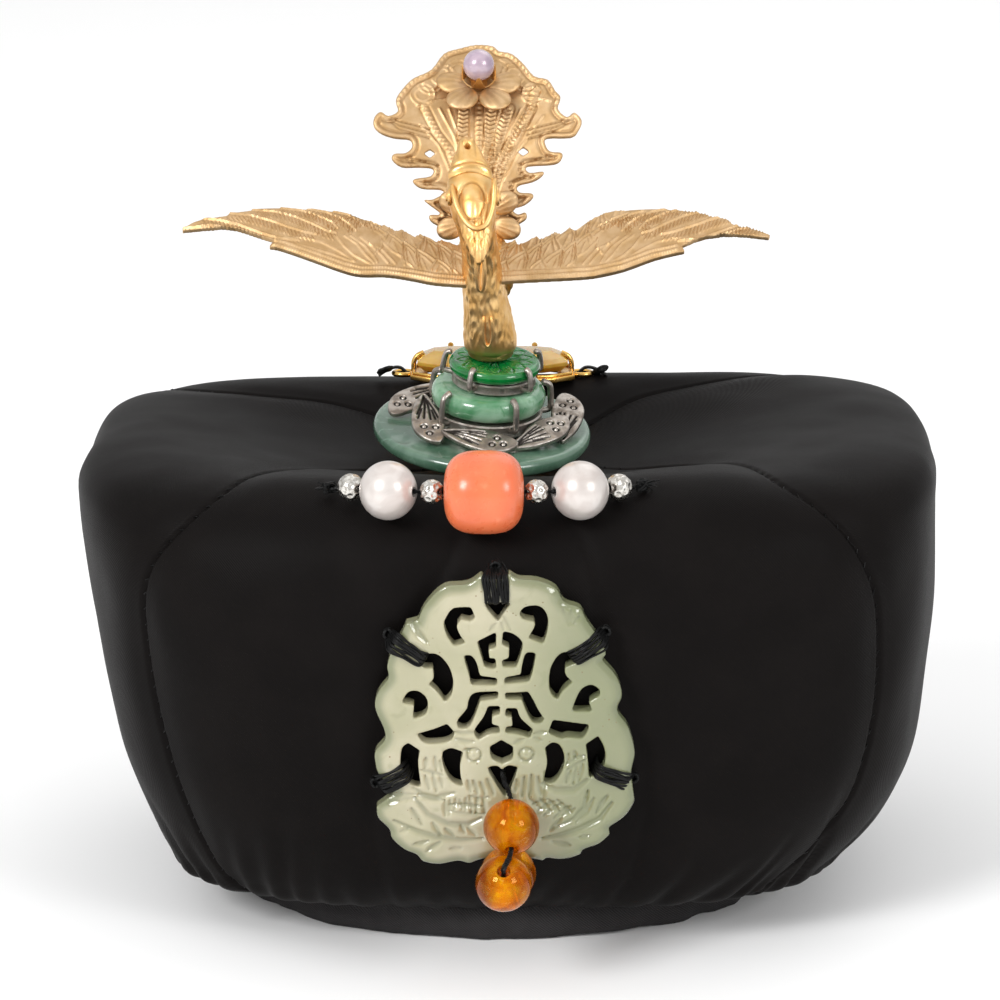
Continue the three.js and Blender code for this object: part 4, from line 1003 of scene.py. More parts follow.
# %% [markdown]
# Jade is polished and lets light a little way in. Its colour drifts softly, with cloudy patches,
# a few brown specks, and a darker, greener border where the edge is thin.
# %% Jades
def jade(name, pale, deep, dark, patch, glow, roughness=0.16):
    """A polished jade and its body colour; glow is how far light goes in, in millimetres."""
    paint = Paint(
        name, Subsurface_Weight=0.35, Subsurface_Radius=(1, 1, 0.8), Subsurface_Scale=glow * MM,
        Roughness=roughness, Coat_Weight=0.5, Coat_Roughness=0.05, Specular_IOR_Level=0.55,
    )
    drift = paint.noise(patch, 4, distortion=0.6).between(0.32, 0.68)
    body = paint.mix(drift, linear(*pale), linear(*deep))
    veins = paint.noise(patch * 0.4, 6, distortion=1.8).between(0.55, 0.75)
    body = paint.mix(veins * 0.6, body, linear(*dark))
    grain = paint.noise(0.5, 3)
    paint.feed("Roughness", roughness + grain * 0.08)
    paint.bump(grain * 0.5 + paint.noise(3.5, 2), 0.05, 0.35)
    return paint, body


plaque_jade, body = jade("celadon_jade", (180, 174, 148), (164, 161, 131), (146, 146, 114), 16, 1.6, 0.12)
# painted shade: the jade is painted darker toward its right side, the side away from the key light
side = plaque_jade.axes(plaque_jade.place())[0]
body = plaque_jade.mix(side.between(-0.006, 0.014) * 0.9, body, linear(126, 131, 98))
body = plaque_jade.mix(plaque_jade.kept("edge") * 0.65, body, linear(112, 118, 86))
# painted shade: the engraved grooves are darkened by their depth
grooves = plaque_jade.hollows(0.1, 0.6)
body = plaque_jade.mix(grooves * 0.45, body, linear(110, 116, 84))
specks = plaque_jade.cells(1.1).between(0.16, 0.1) * plaque_jade.noise(5, 3).between(0.56, 0.66)
body = plaque_jade.mix(specks * 0.8, body, linear(120, 100, 66))
plaque_jade.feed("Base Color", body)
build_plaque(plaque_jade)

# %% [markdown]
# Black threads hold the plaque at five places. Each tie is a bundle of eleven to sixteen threads
# that come out of the satin, cross the jade's edge and go down through an opening. At the outer end
# they gather into a small knot.
# %% Ties of the plaque
UP = Vector((0, 0, 1))
TIE_FAN = [0.45, 0.85, 1.05, 1.0, 0.95, 0.8]  # how wide the bundle spreads at each point of its way
# outer and inner end, width and number of threads
TIES = {
    "top": ((0.1, 29.2), (0.2, 24.2), 3.9, 16),
    "upper_left": ((-17.6, 17.9), (-12.4, 14.4), 2.9, 12),
    "upper_right": ((17.4, 17.1), (12.5, 13.6), 2.8, 11),
    "lower_left": ((-20.9, -8.6), (-16.1, -6.2), 2.9, 11),
    "lower_right": ((21.4, -9.3), (15.9, -7.0), 2.9, 12),
}


def tie_bundle(name, outer, inner, width, count, seed):
    """Threads from a knot outside the edge, over the jade and down into an opening."""
    dice = random.Random(seed)
    out, into = Vector((*outer, 0)), Vector((*inner, 0))
    along = (into - out).normalized()
    across = UP.cross(along)
    pieces = []
    for i in range(count):
        part = i / (count - 1) - 0.5
        top = PLAQUE_THICK + 0.15 + 0.3 * math.cos(part * math.pi) + dice.uniform(-0.1, 0.35)
        path = [
            out - along - UP * 0.3,
            out - along * 0.3 + UP * 1.1,
            out + along * 0.55 + UP * (top - 0.5),
            out.lerp(into, 0.55) + UP * top,
            into - along * 0.25 + UP * (top - 0.25),
            into + along * 0.55 + UP * 0.2,
        ]
        path = [p + across * (part * width * f + dice.uniform(-0.32, 0.32)) for p, f in zip(path, TIE_FAN)]
        pieces.append(wire(path, dice.uniform(0.17, 0.23)))
    for _ in range(5):
        turn = dice.uniform(0, math.tau)
        ring = []
        for angle in np.linspace(turn, turn + math.tau, 13):
            spot = out - along * 0.9 + across * 0.75 * math.cos(angle)
            spot += along * 0.6 * math.sin(angle + dice.uniform(-0.2, 0.2))
            ring.append(spot + UP * (0.35 + 0.4 * math.sin(angle * 2 + turn)))
        pieces.append(wire(ring, 0.24, per=3))
    tie = joined(pieces)
    hand_over(tie, f"tie_{name}", black_thread, [f"plaque_tie_{name}"], PLAQUE_FRAME, 60)


for seed, (name, tie) in enumerate(TIES.items(), 1):
    tie_bundle(name, *tie, seed)

# %% [markdown]
# Beads are turned shapes with a drilled hole. One profile is spun for each kind: round pearls and
# amber with a crisp bore edge, a barrel of coral, and small silver balls with pressed dimples.
# %% Beads
def bead(radius, bore, half=None, square=2.0, rows=24, steps=48):
    """A drilled bead round z; square above 2 makes a barrel."""
    half = half or radius
    top = half * (1 - (bore / radius) ** square) ** (1 / square)
    profile = []
    for row in range(rows + 1):
        turn = math.pi * (row / rows - 0.5)
        z = top * math.sin(turn)
        profile.append((radius * (1 - abs(z / half) ** square) ** (1 / square), z))
    profile = [(bore, -top + 0.25), *profile, (bore, top - 0.25), (bore, -top + 0.25)]
    return turned(profile, steps)


def toward(at, direction):
    """A frame whose z axis points along a direction, at a place in the crown's frame."""
    turn = Vector(direction).to_track_quat("Z", "Y").to_matrix().to_4x4()
    return CROWN_FRAME @ Matrix.Translation(at) @ turn


STRING = [
    (-31.2, -52, 84.4), (-26.9, -55.3, 85.6), (-20.5, -59.6, 86.1), (-13.2, -61.2, 86.3),
    (-4.5, -62.4, 86.5), (4.3, -61.2, 86.3), (11.6, -59.6, 86.1), (18.2, -55.3, 85.6), (22.6, -52, 84.9),
]
DIMPLES = 34
GOLDEN_TURN = 2.39996

pearl = Paint("pearl", Coat_Weight=0.6, Coat_Roughness=0.1, Specular_IOR_Level=0.6, Metallic=0.3)
nacre = pearl.noise(3.5, 3, distortion=0.8)
pearl.tint(nacre, linear(208, 201, 196), linear(194, 184, 178))
pearl.feed("Roughness", 0.24 + nacre * 0.15)
pearl.bump(pearl.noise(1.8, 2), 0.03, 0.3)

coral = Paint("coral", Coat_Weight=0.2, Coat_Roughness=0.15, Specular_IOR_Level=0.5,
              Subsurface_Weight=0.2, Subsurface_Radius=(1, 0.4, 0.25), Subsurface_Scale=1.0 * MM)
bands = coral.axes(coral.place())[0] * 900.0 + coral.noise(5, 3) * 3.0
body = coral.mix(bands.wave() * 0.25 + 0.4, linear(222, 116, 74), linear(210, 99, 59))
body = coral.mix(coral.noise(1.6, 5).between(0.6, 0.75) * 0.4, body, linear(232, 146, 106))
coral.feed("Base Color", body)
coral.feed("Roughness", 0.2 + coral.noise(1.5, 3) * 0.18)
coral.bump(coral.noise(2.5, 2) + bands.wave() * 0.1, 0.04, 0.3)

silver = Paint("silver", Metallic=1.0)
flecks = silver.noise(0.6, 4)
silver.tint(flecks, linear(225, 222, 216), linear(175, 170, 162), low=0.35)
silver.feed("Roughness", 0.16 + flecks * 0.2)
silver.bump(flecks, 0.04, 0.5)


def dimpled_ball(radius, seed):
    """A small ball with pressed dimples, spread evenly by the golden turn."""
    piece = bead(radius, 0.8, rows=40, steps=72)
    points = positions(piece)
    away = np.linalg.norm(points, axis=1)
    outward = points / np.maximum(away, 1e-6)[:, None]
    sunk = np.zeros(len(points))
    for i in range(DIMPLES):
        height = 1 - 2 * (i + 0.5) / DIMPLES
        turn = i * GOLDEN_TURN + seed
        flat = math.sqrt(1 - height * height)
        centre = np.array([flat * math.cos(turn), flat * math.sin(turn), height])
        near = np.arccos(np.clip(outward @ centre, -1, 1))
        sunk += 0.17 * ridge(near, 0.16) - 0.05 * ridge(near - 0.3, 0.08)
    sunk *= step_between(0.9, 0.97, away / radius)
    set_positions(piece, points - outward * sunk[:, None])
    return piece


def on_string(piece, i, name, paint, node):
    along = Vector(STRING[i + 1]) - Vector(STRING[i - 1])
    hand_over(piece, name, paint, [node], toward(STRING[i], along), 50)


for number, i, radius in ((1, 1, 2.25), (2, 3, 2.0), (3, 5, 2.0), (4, 7, 2.25)):
    ball = dimpled_ball(radius, number)
    on_string(ball, i, f"dimpled_bead_{number}", silver, f"silver_bead_{number}")
for side, i in (("left", 2), ("right", 6)):
    on_string(bead(5, 0.9, half=4.85), i, f"round_pearl_{side}", pearl, f"pearl_{side}")
barrel = bead(7, 1.2, half=6.7, square=3.0, rows=30)
on_string(barrel, 4, "coral_barrel", coral, "coral_bead")

# %% [markdown]
# The bead strings are laid threads: a few plies that wind round each other along a path. They pass
# through the bores and end in small tufts where the needle went into the satin.
# %% Bead string and its tufts
def laid_thread(points, radius, plies, pitch):
    """Plies wound round a path."""
    path = smooth_path(points, 8)
    pieces = []
    side = Vector((0, 0, 1))
    frames, run = [], 0.0
    for i, point in enumerate(path):
        along = (path[min(i + 1, len(path) - 1)] - path[max(i - 1, 0)]).normalized()
        side = (side - along * side.dot(along)).normalized()
        run += (point - path[i - 1]).length if i else 0
        frames.append((point, side.copy(), along.cross(side), run))
    for ply in range(plies):
        shift = math.tau * ply / plies
        line = []
        for point, first, second, run in frames:
            turn = shift + math.tau * run / pitch
            line.append(point + (first * math.cos(turn) + second * math.sin(turn)) * radius * 0.55)
        pieces.append(strand(line, radius * 0.6))
    return joined(pieces)


def tuft(at, outward, seed):
    """Loose ends and a small knot where a thread goes into the cloth."""
    dice = random.Random(seed)
    at, outward = Vector(at), Vector(outward).normalized()
    pieces = []
    for _ in range(16):
        swing = Vector((dice.uniform(-1, 1), dice.uniform(-0.7, 0.2), dice.uniform(-0.7, 0.9)))
        tip = at + outward * dice.uniform(0.6, 2.6) + swing * dice.uniform(0.6, 1.5)
        bend = at.lerp(tip, 0.5) + Vector((0, -0.5, 0.5)) * dice.uniform(0, 0.8)
        pieces.append(wire([at, bend, tip], 0.1, per=5))
    for i in range(5):
        turn = dice.uniform(0, 3)
        ring = [
            at + Vector((0.8 * math.cos(a), 0.7 * math.sin(a + turn), 0.75 * math.sin(a + i)))
            for a in np.linspace(0, math.tau, 11)
        ]
        pieces.append(wire(ring, 0.26, per=3))
    return pieces


string = laid_thread(STRING, 0.42, 3, 1.9)
tufts = tuft((-30.6, -52.6, 84.9), (-1, 0.3, 0), 3) + tuft((22.2, -52.5, 85.3), (1, 0.3, 0), 4)
hand_over(joined([string, *tufts]), "bead_string", black_thread, ["bead_thread"])

# %% [markdown]
# Amber is clear and honey coloured, with crackle inside, so it transmits light and its colour
# changes from gold to brown. The thread shows through the drilled hole.
# %% Amber beads
amber = Paint(
    "amber", Transmission_Weight=0.7, IOR=1.5, Roughness=0.03, Specular_IOR_Level=0.3,
    Specular_Tint=(1, 0.6, 0.2, 1),
)
crackle = amber.noise(1.6, 5, distortion=2.5).between(0.56, 0.62)
cloud = amber.noise(3.2, 5, distortion=1.2)
stops = [(0.25, linear(184, 76, 0)), (0.5, linear(236, 138, 0)), (0.72, linear(255, 186, 4))]
body = amber.ramp(cloud, stops)
body = amber.mix(crackle * amber.noise(2.4, 2).between(0.45, 0.65) * 0.8, body, linear(255, 214, 96))
across = amber.axes(amber.place())[0] + 0.0004  # the beads lie a little to the left
# painted shade: the beads' left and right sides, as the front sees them, are painted brown where refraction
# darkens them
painted_side_shade = (across * across).between(0.0022**2, 0.0042**2)
body = amber.mix(painted_side_shade * 0.75, body, linear(120, 44, 0))
amber.feed("Base Color", body)
amber.feed("Roughness", 0.03 + crackle * 0.1)
amber.bump(amber.noise(2.6, 2), 0.03, 0.25)

AMBER_RADIUS = 4.75
AMBER_PLACES = {
    "top": ((0.1, -69.3, 30.2), (0, 0.751, 0.658)),
    "front": ((-1.2, -73.6, 21.6), (0, -0.697, 0.72)),
    "rear": ((-0.4, -64.3, 20.1), (0, 0.96, 0.28)),
}
for name, (at, along) in AMBER_PLACES.items():
    ball = bead(AMBER_RADIUS, 1.15, half=4.7, rows=30, steps=60)
    hand_over(ball, f"amber_{name}", amber, [f"amber_bead_{name}"], toward(at, along), 50)


def through(name, part):
    """A point in a bead's bore; part is 1 at one end and -1 at the other."""
    at, along = AMBER_PLACES[name]
    return Vector(at) + Vector(along) * part * AMBER_RADIUS


drop = [(-1.3, -62, 38.2), (-1.2, -64.6, 37.2), through("top", 1.0), through("top", -0.9),
        (-0.6, -75.8, 26.2), through("front", 1.0), through("front", -0.9), through("rear", -0.9),
        through("rear", 1.0), (-0.4, -57.8, 21.9)]
hand_over(laid_thread(drop, 0.45, 3, 1.6), "amber_string", black_thread, ["amber_thread"])

# %% [markdown]
# The stack stands on the crown's dimple and nods forward a little. From below: a wide thin jade
# disc, a ring of silver leaves, a jade button in claws, and a small green jade carved with petals.
# %% Jade buttons
STACK_FRAME = (
    CROWN_FRAME
    @ Matrix.Translation((-5.1, 0, 82.7))
    @ Matrix.Rotation(math.radians(9.5), 4, "X")
    @ Matrix.Rotation(math.radians(3.2), 4, "Y")
)
# how far to the right the middle jade, the leaves and the top jade sit
MIDDLE_SHIFT, LEAF_SHIFT, TOP_SHIFT = 0.8, 1.2, 1.6


def aside(x):
    return STACK_FRAME @ Matrix.Translation((x, 0, 0))


def button(radius, low, high, edge, steps=128, inner=6):
    """A round stone with softly rounded edges."""
    middle, half = (low + high) / 2, (high - low) / 2
    profile = [(0, low)]
    for i in range(1, inner):
        profile.append(((radius - edge * 1.6) * i / inner, low))
    for i in range(13):
        turn = math.pi * (i / 12 - 0.5)
        reach = math.copysign(abs(math.cos(turn)) ** 0.75, math.cos(turn))
        profile.append((radius - edge * 1.5 * (1 - reach), middle + half * math.sin(turn)))
    for i in range(inner - 1, -1, -1):
        profile.append(((radius - edge * 1.6) * i / inner, high))
    return turned(profile, steps)


DISC_CHIPS = [(-14.6, -9.6, 0.55, 1.3), (-13.6, -10.4, 0.3, 0.6)]  # place, depth and width
PETALS = 14

grey_jade, body = jade("grey_jade", (98, 128, 108), (60, 94, 74), (120, 150, 130), 9, 1.2, 0.2)
grey_jade.feed("Base Color", body)
disc = button(19.75, -1.4, 1.4, 0.9, inner=16)
points = positions(disc)
for px, py, deep, wide in DISC_CHIPS:
    away = np.hypot(points[:, 0] - px, points[:, 1] - py)
    points[:, 2] -= deep * ridge(away, wide) * (points[:, 2] > 0.5)
set_positions(disc, points)
hand_over(disc, "grey_jade_disc", grey_jade, ["jade_disc"], STACK_FRAME, 50)

pale_jade, body = jade("pale_jade", (146, 182, 154), (78, 136, 94), (46, 120, 66), 6, 1.2, 0.16)
pale_jade.feed("Base Color", body)
middle = button(10.35, 5, 9.4, 1.4)
hand_over(middle, "pale_jade_button", pale_jade, ["middle_jade"], aside(MIDDLE_SHIFT), 50)

green_jade, body = jade("green_jade", (14, 128, 58), (2, 96, 36), (30, 150, 70), 5, 0.8, 0.14)
# painted shade: the carved petal grooves are darkened by their depth
carved_shade = green_jade.hollows(0.05, 0.5)
green_jade.feed("Base Color", green_jade.mix(carved_shade * 0.5, body, linear(0, 70, 24)))


def build_green_button():
    """The top jade: a ring of petals carved round its middle, inside a plain sloping border."""
    piece = button(8.25, 11.9, 14.1, 0.7, steps=240, inner=40)
    points = positions(piece)
    x, y, z = points.T
    away, angle = np.hypot(x, y), np.arctan2(y, x)
    part = np.mod(angle * PETALS / math.tau, 1) - 0.5
    petal_edge = 6.9 - 6 * np.abs(part) ** 1.6
    relief = -0.26 * ridge(away - petal_edge, 0.24)
    rib = np.abs(np.mod(angle * PETALS / math.tau + 0.5, 1) - 0.5)
    relief -= 0.34 * ridge(rib * away, 0.35) * step_between(6.2, 5.0, away)
    relief += 0.08 * np.cos(angle * PETALS * 4) * step_between(6.6, 4, away)
    relief *= (z > 13.2) * step_between(7.6, 7.0, away)
    points[:, 2] += relief
    set_positions(piece, points)
    keep(piece, "relief", relief)
    hand_over(piece, "green_jade_button", green_jade, ["top_jade"], aside(TOP_SHIFT), 40)


build_green_button()

# %% [markdown]
# The settings are old silver with dark in its hollows. Each is a band with claws that rise past the
# stone and bend in over its shoulder. The lower one also carries six flat leaves with chased veins
# and three ring dots near the wide end; one leaf is modelled, then copied round.
# %% Old silver settings
old_silver = Paint("old_silver", Metallic=1.0, Coat_Weight=0.05)
tarnish = old_silver.noise(1.8, 5).between(0.38, 0.66)
body = old_silver.mix(tarnish, linear(184, 177, 169), linear(142, 133, 125))
dark = old_silver.hollows(0.06, 0.28)
old_silver.feed("Base Color", old_silver.mix(dark * 0.9, body, linear(34, 28, 26)))
old_silver.feed("Roughness", 0.34 + tarnish * 0.25 + dark * 0.2)
old_silver.bump(old_silver.noise(0.4, 4) + old_silver.noise(2.2, 3), 0.05, 0.6)


def band(inner, outer, low, high):
    """A ring with a rounded edge and a shallow waist on its outside."""
    e = 0.25
    profile = [(inner, low + e), (inner + e, low), (outer - e, low), (outer, low + e),
               (outer - 0.12, (low + high) / 2), (outer, high - e), (outer - e, high),
               (inner + e, high), (inner, high - e), (inner, low + e)]
    return turned(profile, 96)


def claw(angle, start, outer, low, high, inner, thick):
    """A claw that rises past the stone's widest part and bends in over its shoulder."""
    top = high + thick
    path = [(start, low), (outer, low + 0.4), (outer + 0.1, (low + high) / 2),
            (outer - 0.15, high - 0.3), (inner + 0.1, top - 0.15), (inner - 0.75, top)]
    turn = Matrix.Rotation(angle, 4, "Z")
    points = [turn @ Vector((x, 0, z)) for x, z in path]
    line = smooth_path(points, 6)
    wide = [1.0] * (len(line) - 5) + [1.1, 1.15, 1.1, 0.9, 0.5]
    return strand(line, thick * 0.95, 4, wide)


def claws(first, *sizes):
    """Five claws at even angles, the first one in degrees."""
    return [claw(math.radians(first + 72 * i), *sizes) for i in range(5)]


PRESSED_THICK = 0.9
LEAF_EDGE = [
    (-7.2, 0.1), (-5.6, -1.2), (-3.4, -2.2), (-0.4, -2.9), (2.6, -3), (5, -2.1), (6.6, -0.5), (6.9, 0.9),
    (5.8, 1.7), (4.2, 2), (1.6, 2.5), (-1, 2.2), (-3, 1.4), (-5.2, 1),
]
LEAF_VEINS = [
    [(-6.6, 0), (-4, -0.7), (-1, -1.9)],
    [(-6, 0), (-3, -0.3), (0.4, -0.9)],
    [(-5.6, 0.2), (-2.4, 0.3), (0.8, 0.2)],
    [(-5, 0.4), (-2, 1.1), (0.4, 1.5)],
    [(-2.6, -0.9), (0.2, -1.9)],
    [(-2, 0.7), (0.8, 1)],
]
# angle, distance from the middle, height and swing of each leaf of the wreath
LEAVES = [(-98, 12.2, 3.1, -6), (-43, 12.5, 3.3, -4), (-6, 13.8, 3.7, 2),
          (80, 12.4, 3.3, 0), (160, 13.8, 3.5, -30), (-150, 12.6, 4.1, -20)]
LEAF_DOTS = [(2.6, -1.2), (4.5, -0.5), (3.0, 0.7)]


def silver_leaf():
    """One leaf, bent a little along its length, with its lines and dots cut in."""
    piece = stamped(smooth_path(LEAF_EDGE, 4, True), [], PRESSED_THICK, 0.15, 0.15, 2)
    points = positions(piece)
    x, y, z = points.T
    relief = np.zeros_like(x)
    for line in LEAF_VEINS:
        away, _ = near_line(x, y, line)
        relief -= 0.4 * ridge(away, 0.17)
    for dx, dy in LEAF_DOTS:
        away = np.hypot(x - dx, y - dy)
        relief -= 0.42 * ridge(away - 0.5, 0.14) - 0.08 * ridge(away, 0.3)
    relief *= z > 0.15
    points[:, 2] += relief + 0.35 * np.cos(x / 5) - 0.02 * y * y
    set_positions(piece, points)
    keep(piece, "relief", relief)
    return piece


def copy_of(piece, frame_matrix):
    copy = piece.copy()
    copy.data = piece.data.copy()
    copy.data.transform(frame_matrix)
    bpy.context.scene.collection.objects.link(copy)
    return copy


def build_leaf_setting():
    leaf = silver_leaf()
    pieces = [band(7.4, 10, 2.3, 4.7), *claws(-136, 9.4, 11.35, 3.9, 8.9, 10.35, 0.6)]
    for piece in pieces:
        piece.data.transform(Matrix.Translation((MIDDLE_SHIFT, 0, 0)))
    middle = Vector((LEAF_SHIFT, 0, 0))
    for degrees, far, high, swing in LEAVES:
        angle = math.radians(degrees)
        out = Vector((math.cos(angle), math.sin(angle), 0))
        place = (
            Matrix.Translation(middle + out * far + UP * high)
            @ Matrix.Rotation(math.radians(16), 4, "X")
            @ Matrix.Rotation(angle + math.radians(90 + swing), 4, "Z")
            @ Matrix.Diagonal((1, 1.08, 1, 1))
        )
        pieces.append(copy_of(leaf, place))
        stem = [out * 9.6 + UP * 2.9, out * (far - 1.6) + UP * 2.7, out * far + UP * (high - 0.3)]
        pieces.append(wire([middle + p for p in stem], 0.45, 2, per=4))
    bpy.data.objects.remove(leaf)
    ring = joined(pieces)
    hand_over(ring, "silver_leaf_ring", old_silver, ["leaf_setting"], STACK_FRAME, 45)


def build_top_setting():
    ring = joined([band(4.6, 7.6, 9.7, 11.6), *claws(-118, 7, 9.2, 10.6, 13.9, 8.6, 0.55)])
    hand_over(ring, "silver_claw_ring", old_silver, ["top_setting"], aside(TOP_SHIFT), 45)


build_leaf_setting()
build_top_setting()

# %% [markdown]
# The phoenix is gilt. Its wings and tail are sandblasted and pale; body and head are brighter.
# %% Gilding
def gilding(name, light, deep, hollow, roughness, grain):
    """Gilt metal, duller in its hollows and polished on its ridges; painted shade darkens its hollows."""
    paint = Paint(name, Metallic=1.0)
    mist = paint.noise(2.4, 4)
    body = paint.mix(mist.between(0.3, 0.7), linear(*light), linear(*deep))
    # painted shade: the base colour goes toward the hollow colour where the relief is low
    dark = paint.hollows(0.05, 0.4)
    paint.feed("Base Color", paint.mix(dark * 0.5, body, linear(*hollow)))
    high = paint.kept("relief").between(0.1, 0.3)
    paint.feed("Roughness", roughness + mist * 0.12 - high * 0.12)
    paint.bump(paint.noise(0.22, 2) + paint.noise(0.9, 3) * 0.6, 0.03, grain)
    return paint


gold = gilding("matte_gold", (214, 182, 140), (198, 163, 116), (132, 94, 50), 0.46, 0.5)
cast_gold = gilding("cast_gold", (242, 202, 140), (226, 178, 108), (146, 98, 48), 0.36, 0.6)

# %% [markdown]
# The phoenix is cast and chased in gilt metal. Its wings and tail are pressed plates: each is drawn
# flat as it is seen, given relief, and then laid on the leaning surface of the solid.
# %% Outlines of wings and tail
PHOENIX_FRAME = (
    STACK_FRAME
    @ Matrix.Translation((0.7, 0, 14.5))
    @ Matrix.Rotation(math.radians(-3.2), 4, "Y")
)
SEEN_Y, SEEN_Z = 0.399, 0.917  # how much of y and of z counts as up in the picture
# span, then y and z of the leading edge and of the trailing edge
WING_ROWS = np.array([
    (0, -2, 14.4, 8, 17.7), (3, -2, 14.4, 8, 17.7), (10, -1.8, 14.6, 9.4, 18.6),
    (17, -1, 14.9, 11.8, 19.9), (25, 0.5, 15.9, 14.6, 21.9), (32.5, 2.2, 18, 14.8, 23),
    (38.5, 3.9, 19.8, 14.2, 23.5), (41, 6.4, 20.4, 13.9, 23.3), (47, 7.6, 21.6, 12.4, 22.6),
    (56.5, 9.8, 20.7, 10.6, 20.9),
])
LEFT_UPPER = [
    (-56, 23.5), (-52.7, 24.8), (-48, 25.5), (-47.2, 26.1), (-43.4, 26.8), (-42.6, 27.2), (-38.3, 27.3),
    (-32.7, 27.1), (-28.6, 26.8), (-24.8, 25.9), (-20.4, 23.9), (-19.3, 24.2), (-17.2, 22.9),
    (-16.2, 23.3), (-13.7, 21.7), (-12.8, 22.4), (-9.7, 20.7), (-8.9, 21.3), (-5.5, 20), (-1.5, 19),
]
LEFT_LOWER = [
    (-56, 23.1), (-50.9, 23.5), (-46.2, 23.3), (-39.1, 20.9), (-40, 19.8), (-37.6, 19.3), (-32.3, 17.4),
    (-26.7, 15.3), (-23.4, 14.5), (-19, 14.4), (-13.7, 13.6), (-10, 12.9), (-5.1, 12.5), (-1.5, 12.3),
]
RIGHT_UPPER = [
    (1.1, 20), (4.6, 21.3), (5.1, 20.2), (8.4, 22), (9.2, 21.4), (12, 22.9), (12.8, 22.3), (14.6, 23.7),
    (15.7, 22.9), (18.2, 25.1), (21.7, 26.8), (24.3, 27.1), (28.8, 27.3), (33.9, 26.8), (39.2, 25.9),
    (40, 25.4), (43.1, 24.8), (44.3, 24), (48.5, 23.1), (50.9, 22.2),
]
RIGHT_LOWER = [(50.7, 21.7), (44.7, 22.2), (39.2, 21.7), (34.7, 20), (35.2, 18.9), (29.9, 17.6),
               (24.3, 15.5), (18.6, 14.2), (11.3, 13.6), (2.7, 13.1), (1.1, 12.8)]
WING_SHAFTS = [
    [(-55.9, 23.5), (-50.7, 23.9), (-45.7, 23.1), (-41.9, 21.8), (-38.8, 20.7)],
    [(-52.6, 25), (-49.2, 24.7), (-45.7, 23.9), (-41.9, 22.5), (-38.4, 21.2), (-34.6, 20.7)],
    [(-47.8, 26), (-43.8, 25.6), (-40.3, 24.6), (-36.9, 23.3), (-33.8, 22.3), (-31.5, 21.8)],
    [(-43.4, 26.8), (-39.2, 26.4), (-35.7, 25.4), (-32.3, 23.9), (-29.6, 22.5), (-28, 22.1)],
    [(-38.2, 27.2), (-34.6, 26.8), (-31.5, 25.8), (-28.8, 24.4), (-27.7, 23.1)],
    [(-33.4, 27.2), (-30, 26.6), (-27.3, 25.4), (-25.4, 23.9), (-24.4, 22.7)],
    [(-28.6, 26.8), (-26.1, 26.2), (-24.2, 25), (-23.1, 23.9)],
    [(-25.7, 26.4), (-23.4, 25.6), (-21.5, 24.4), (-20, 23.7)],
]
WING_COVERTS = [
    [(-39, 20.6), (-36.9, 21), (-33.8, 21.2), (-30.7, 20.4), (-27.7, 18.9), (-24.4, 16.8)],
    [(-37.5, 20.5), (-33.4, 19.6), (-28.4, 18.1), (-24.6, 16.6)],
    [(-38, 20.2), (-33.8, 18.9), (-29.2, 17.3), (-25, 16.2)],
    [(-27.9, 21.4), (-26.5, 19.6), (-24.6, 17.9), (-21.5, 16.2)],
    [(-26.5, 21.6), (-24.2, 20), (-22.7, 18.1), (-20.9, 16.3)],
    [(-25.4, 21.6), (-22.7, 19.6), (-21.1, 17.7), (-20.4, 16.5)],
    [(-23.6, 21.4), (-21.5, 19.6), (-19.6, 17.7), (-18.4, 16.3)],
    [(-21.9, 20), (-19.6, 18.9), (-18.1, 17.3), (-17.1, 16.2)],
    [(-19.6, 20.4), (-17.7, 18.5), (-15.8, 17.3), (-15.4, 16)],
    [(-20, 21.2), (-19.6, 19.3), (-20.7, 18.1)],
]

# %% [markdown]
# The relief has a beaded rim, shafts with barbs beside them, coverts, and scales at the root. The
# right wing takes the left one's relief in a mirror, with an outline of its own.
# %% Wings
ACROSS, UPWARD = 0.989, 0.9665  # from sizes as the camera sees them to sizes on the wing
ACROSS_RIGHT = 0.974
RIGHT_SHARE = 0.91
SLOPED_ROWS = 8  # the outermost rows are too narrow to give the wing a slope
SCALE_ROW, SCALE_WIDTH, SCALE_LENGTH = 2.9, 3.9, 5.3
VALLEY = 0.16  # relief lower than this counts as a hollow of the pressed plates


def wing_scales(x, y):
    """Pointed scales in staggered rows that overlap like shingles, tips up and outward."""
    drift = 0.3 * np.sin(x * 1.1 + y * 0.7)
    up = -x * 0.42 + y * 0.91 + drift
    across = -x * 0.91 - y * 0.42 + drift
    height = np.full_like(x, 0.1)
    covered = np.zeros_like(x, dtype=bool)
    for back in (1, 0):
        row = np.floor(up / SCALE_ROW) - back
        part = (up - row * SCALE_ROW) / SCALE_LENGTH
        shifted = across / SCALE_WIDTH + 0.5 * (row % 2)
        off = (shifted - np.round(shifted)) * SCALE_WIDTH
        rim = (1 - np.clip(part, 0, 1) ** 1.9) * 2.15 - np.abs(off)
        inside = (rim > 0) & (part < 1) & ~covered
        made = 0.05 + 0.08 * part + 0.24 * ridge(rim - 0.18, 0.16)
        made += 0.2 * ridge(rim - 0.85, 0.15) + 0.16 * ridge(off, 0.16) * (part < 0.55)
        height = np.where(inside, made, height)
        covered |= inside
    return height


def line_length(line):
    return sum(math.dist(a, b) for a, b in zip(line, line[1:]))


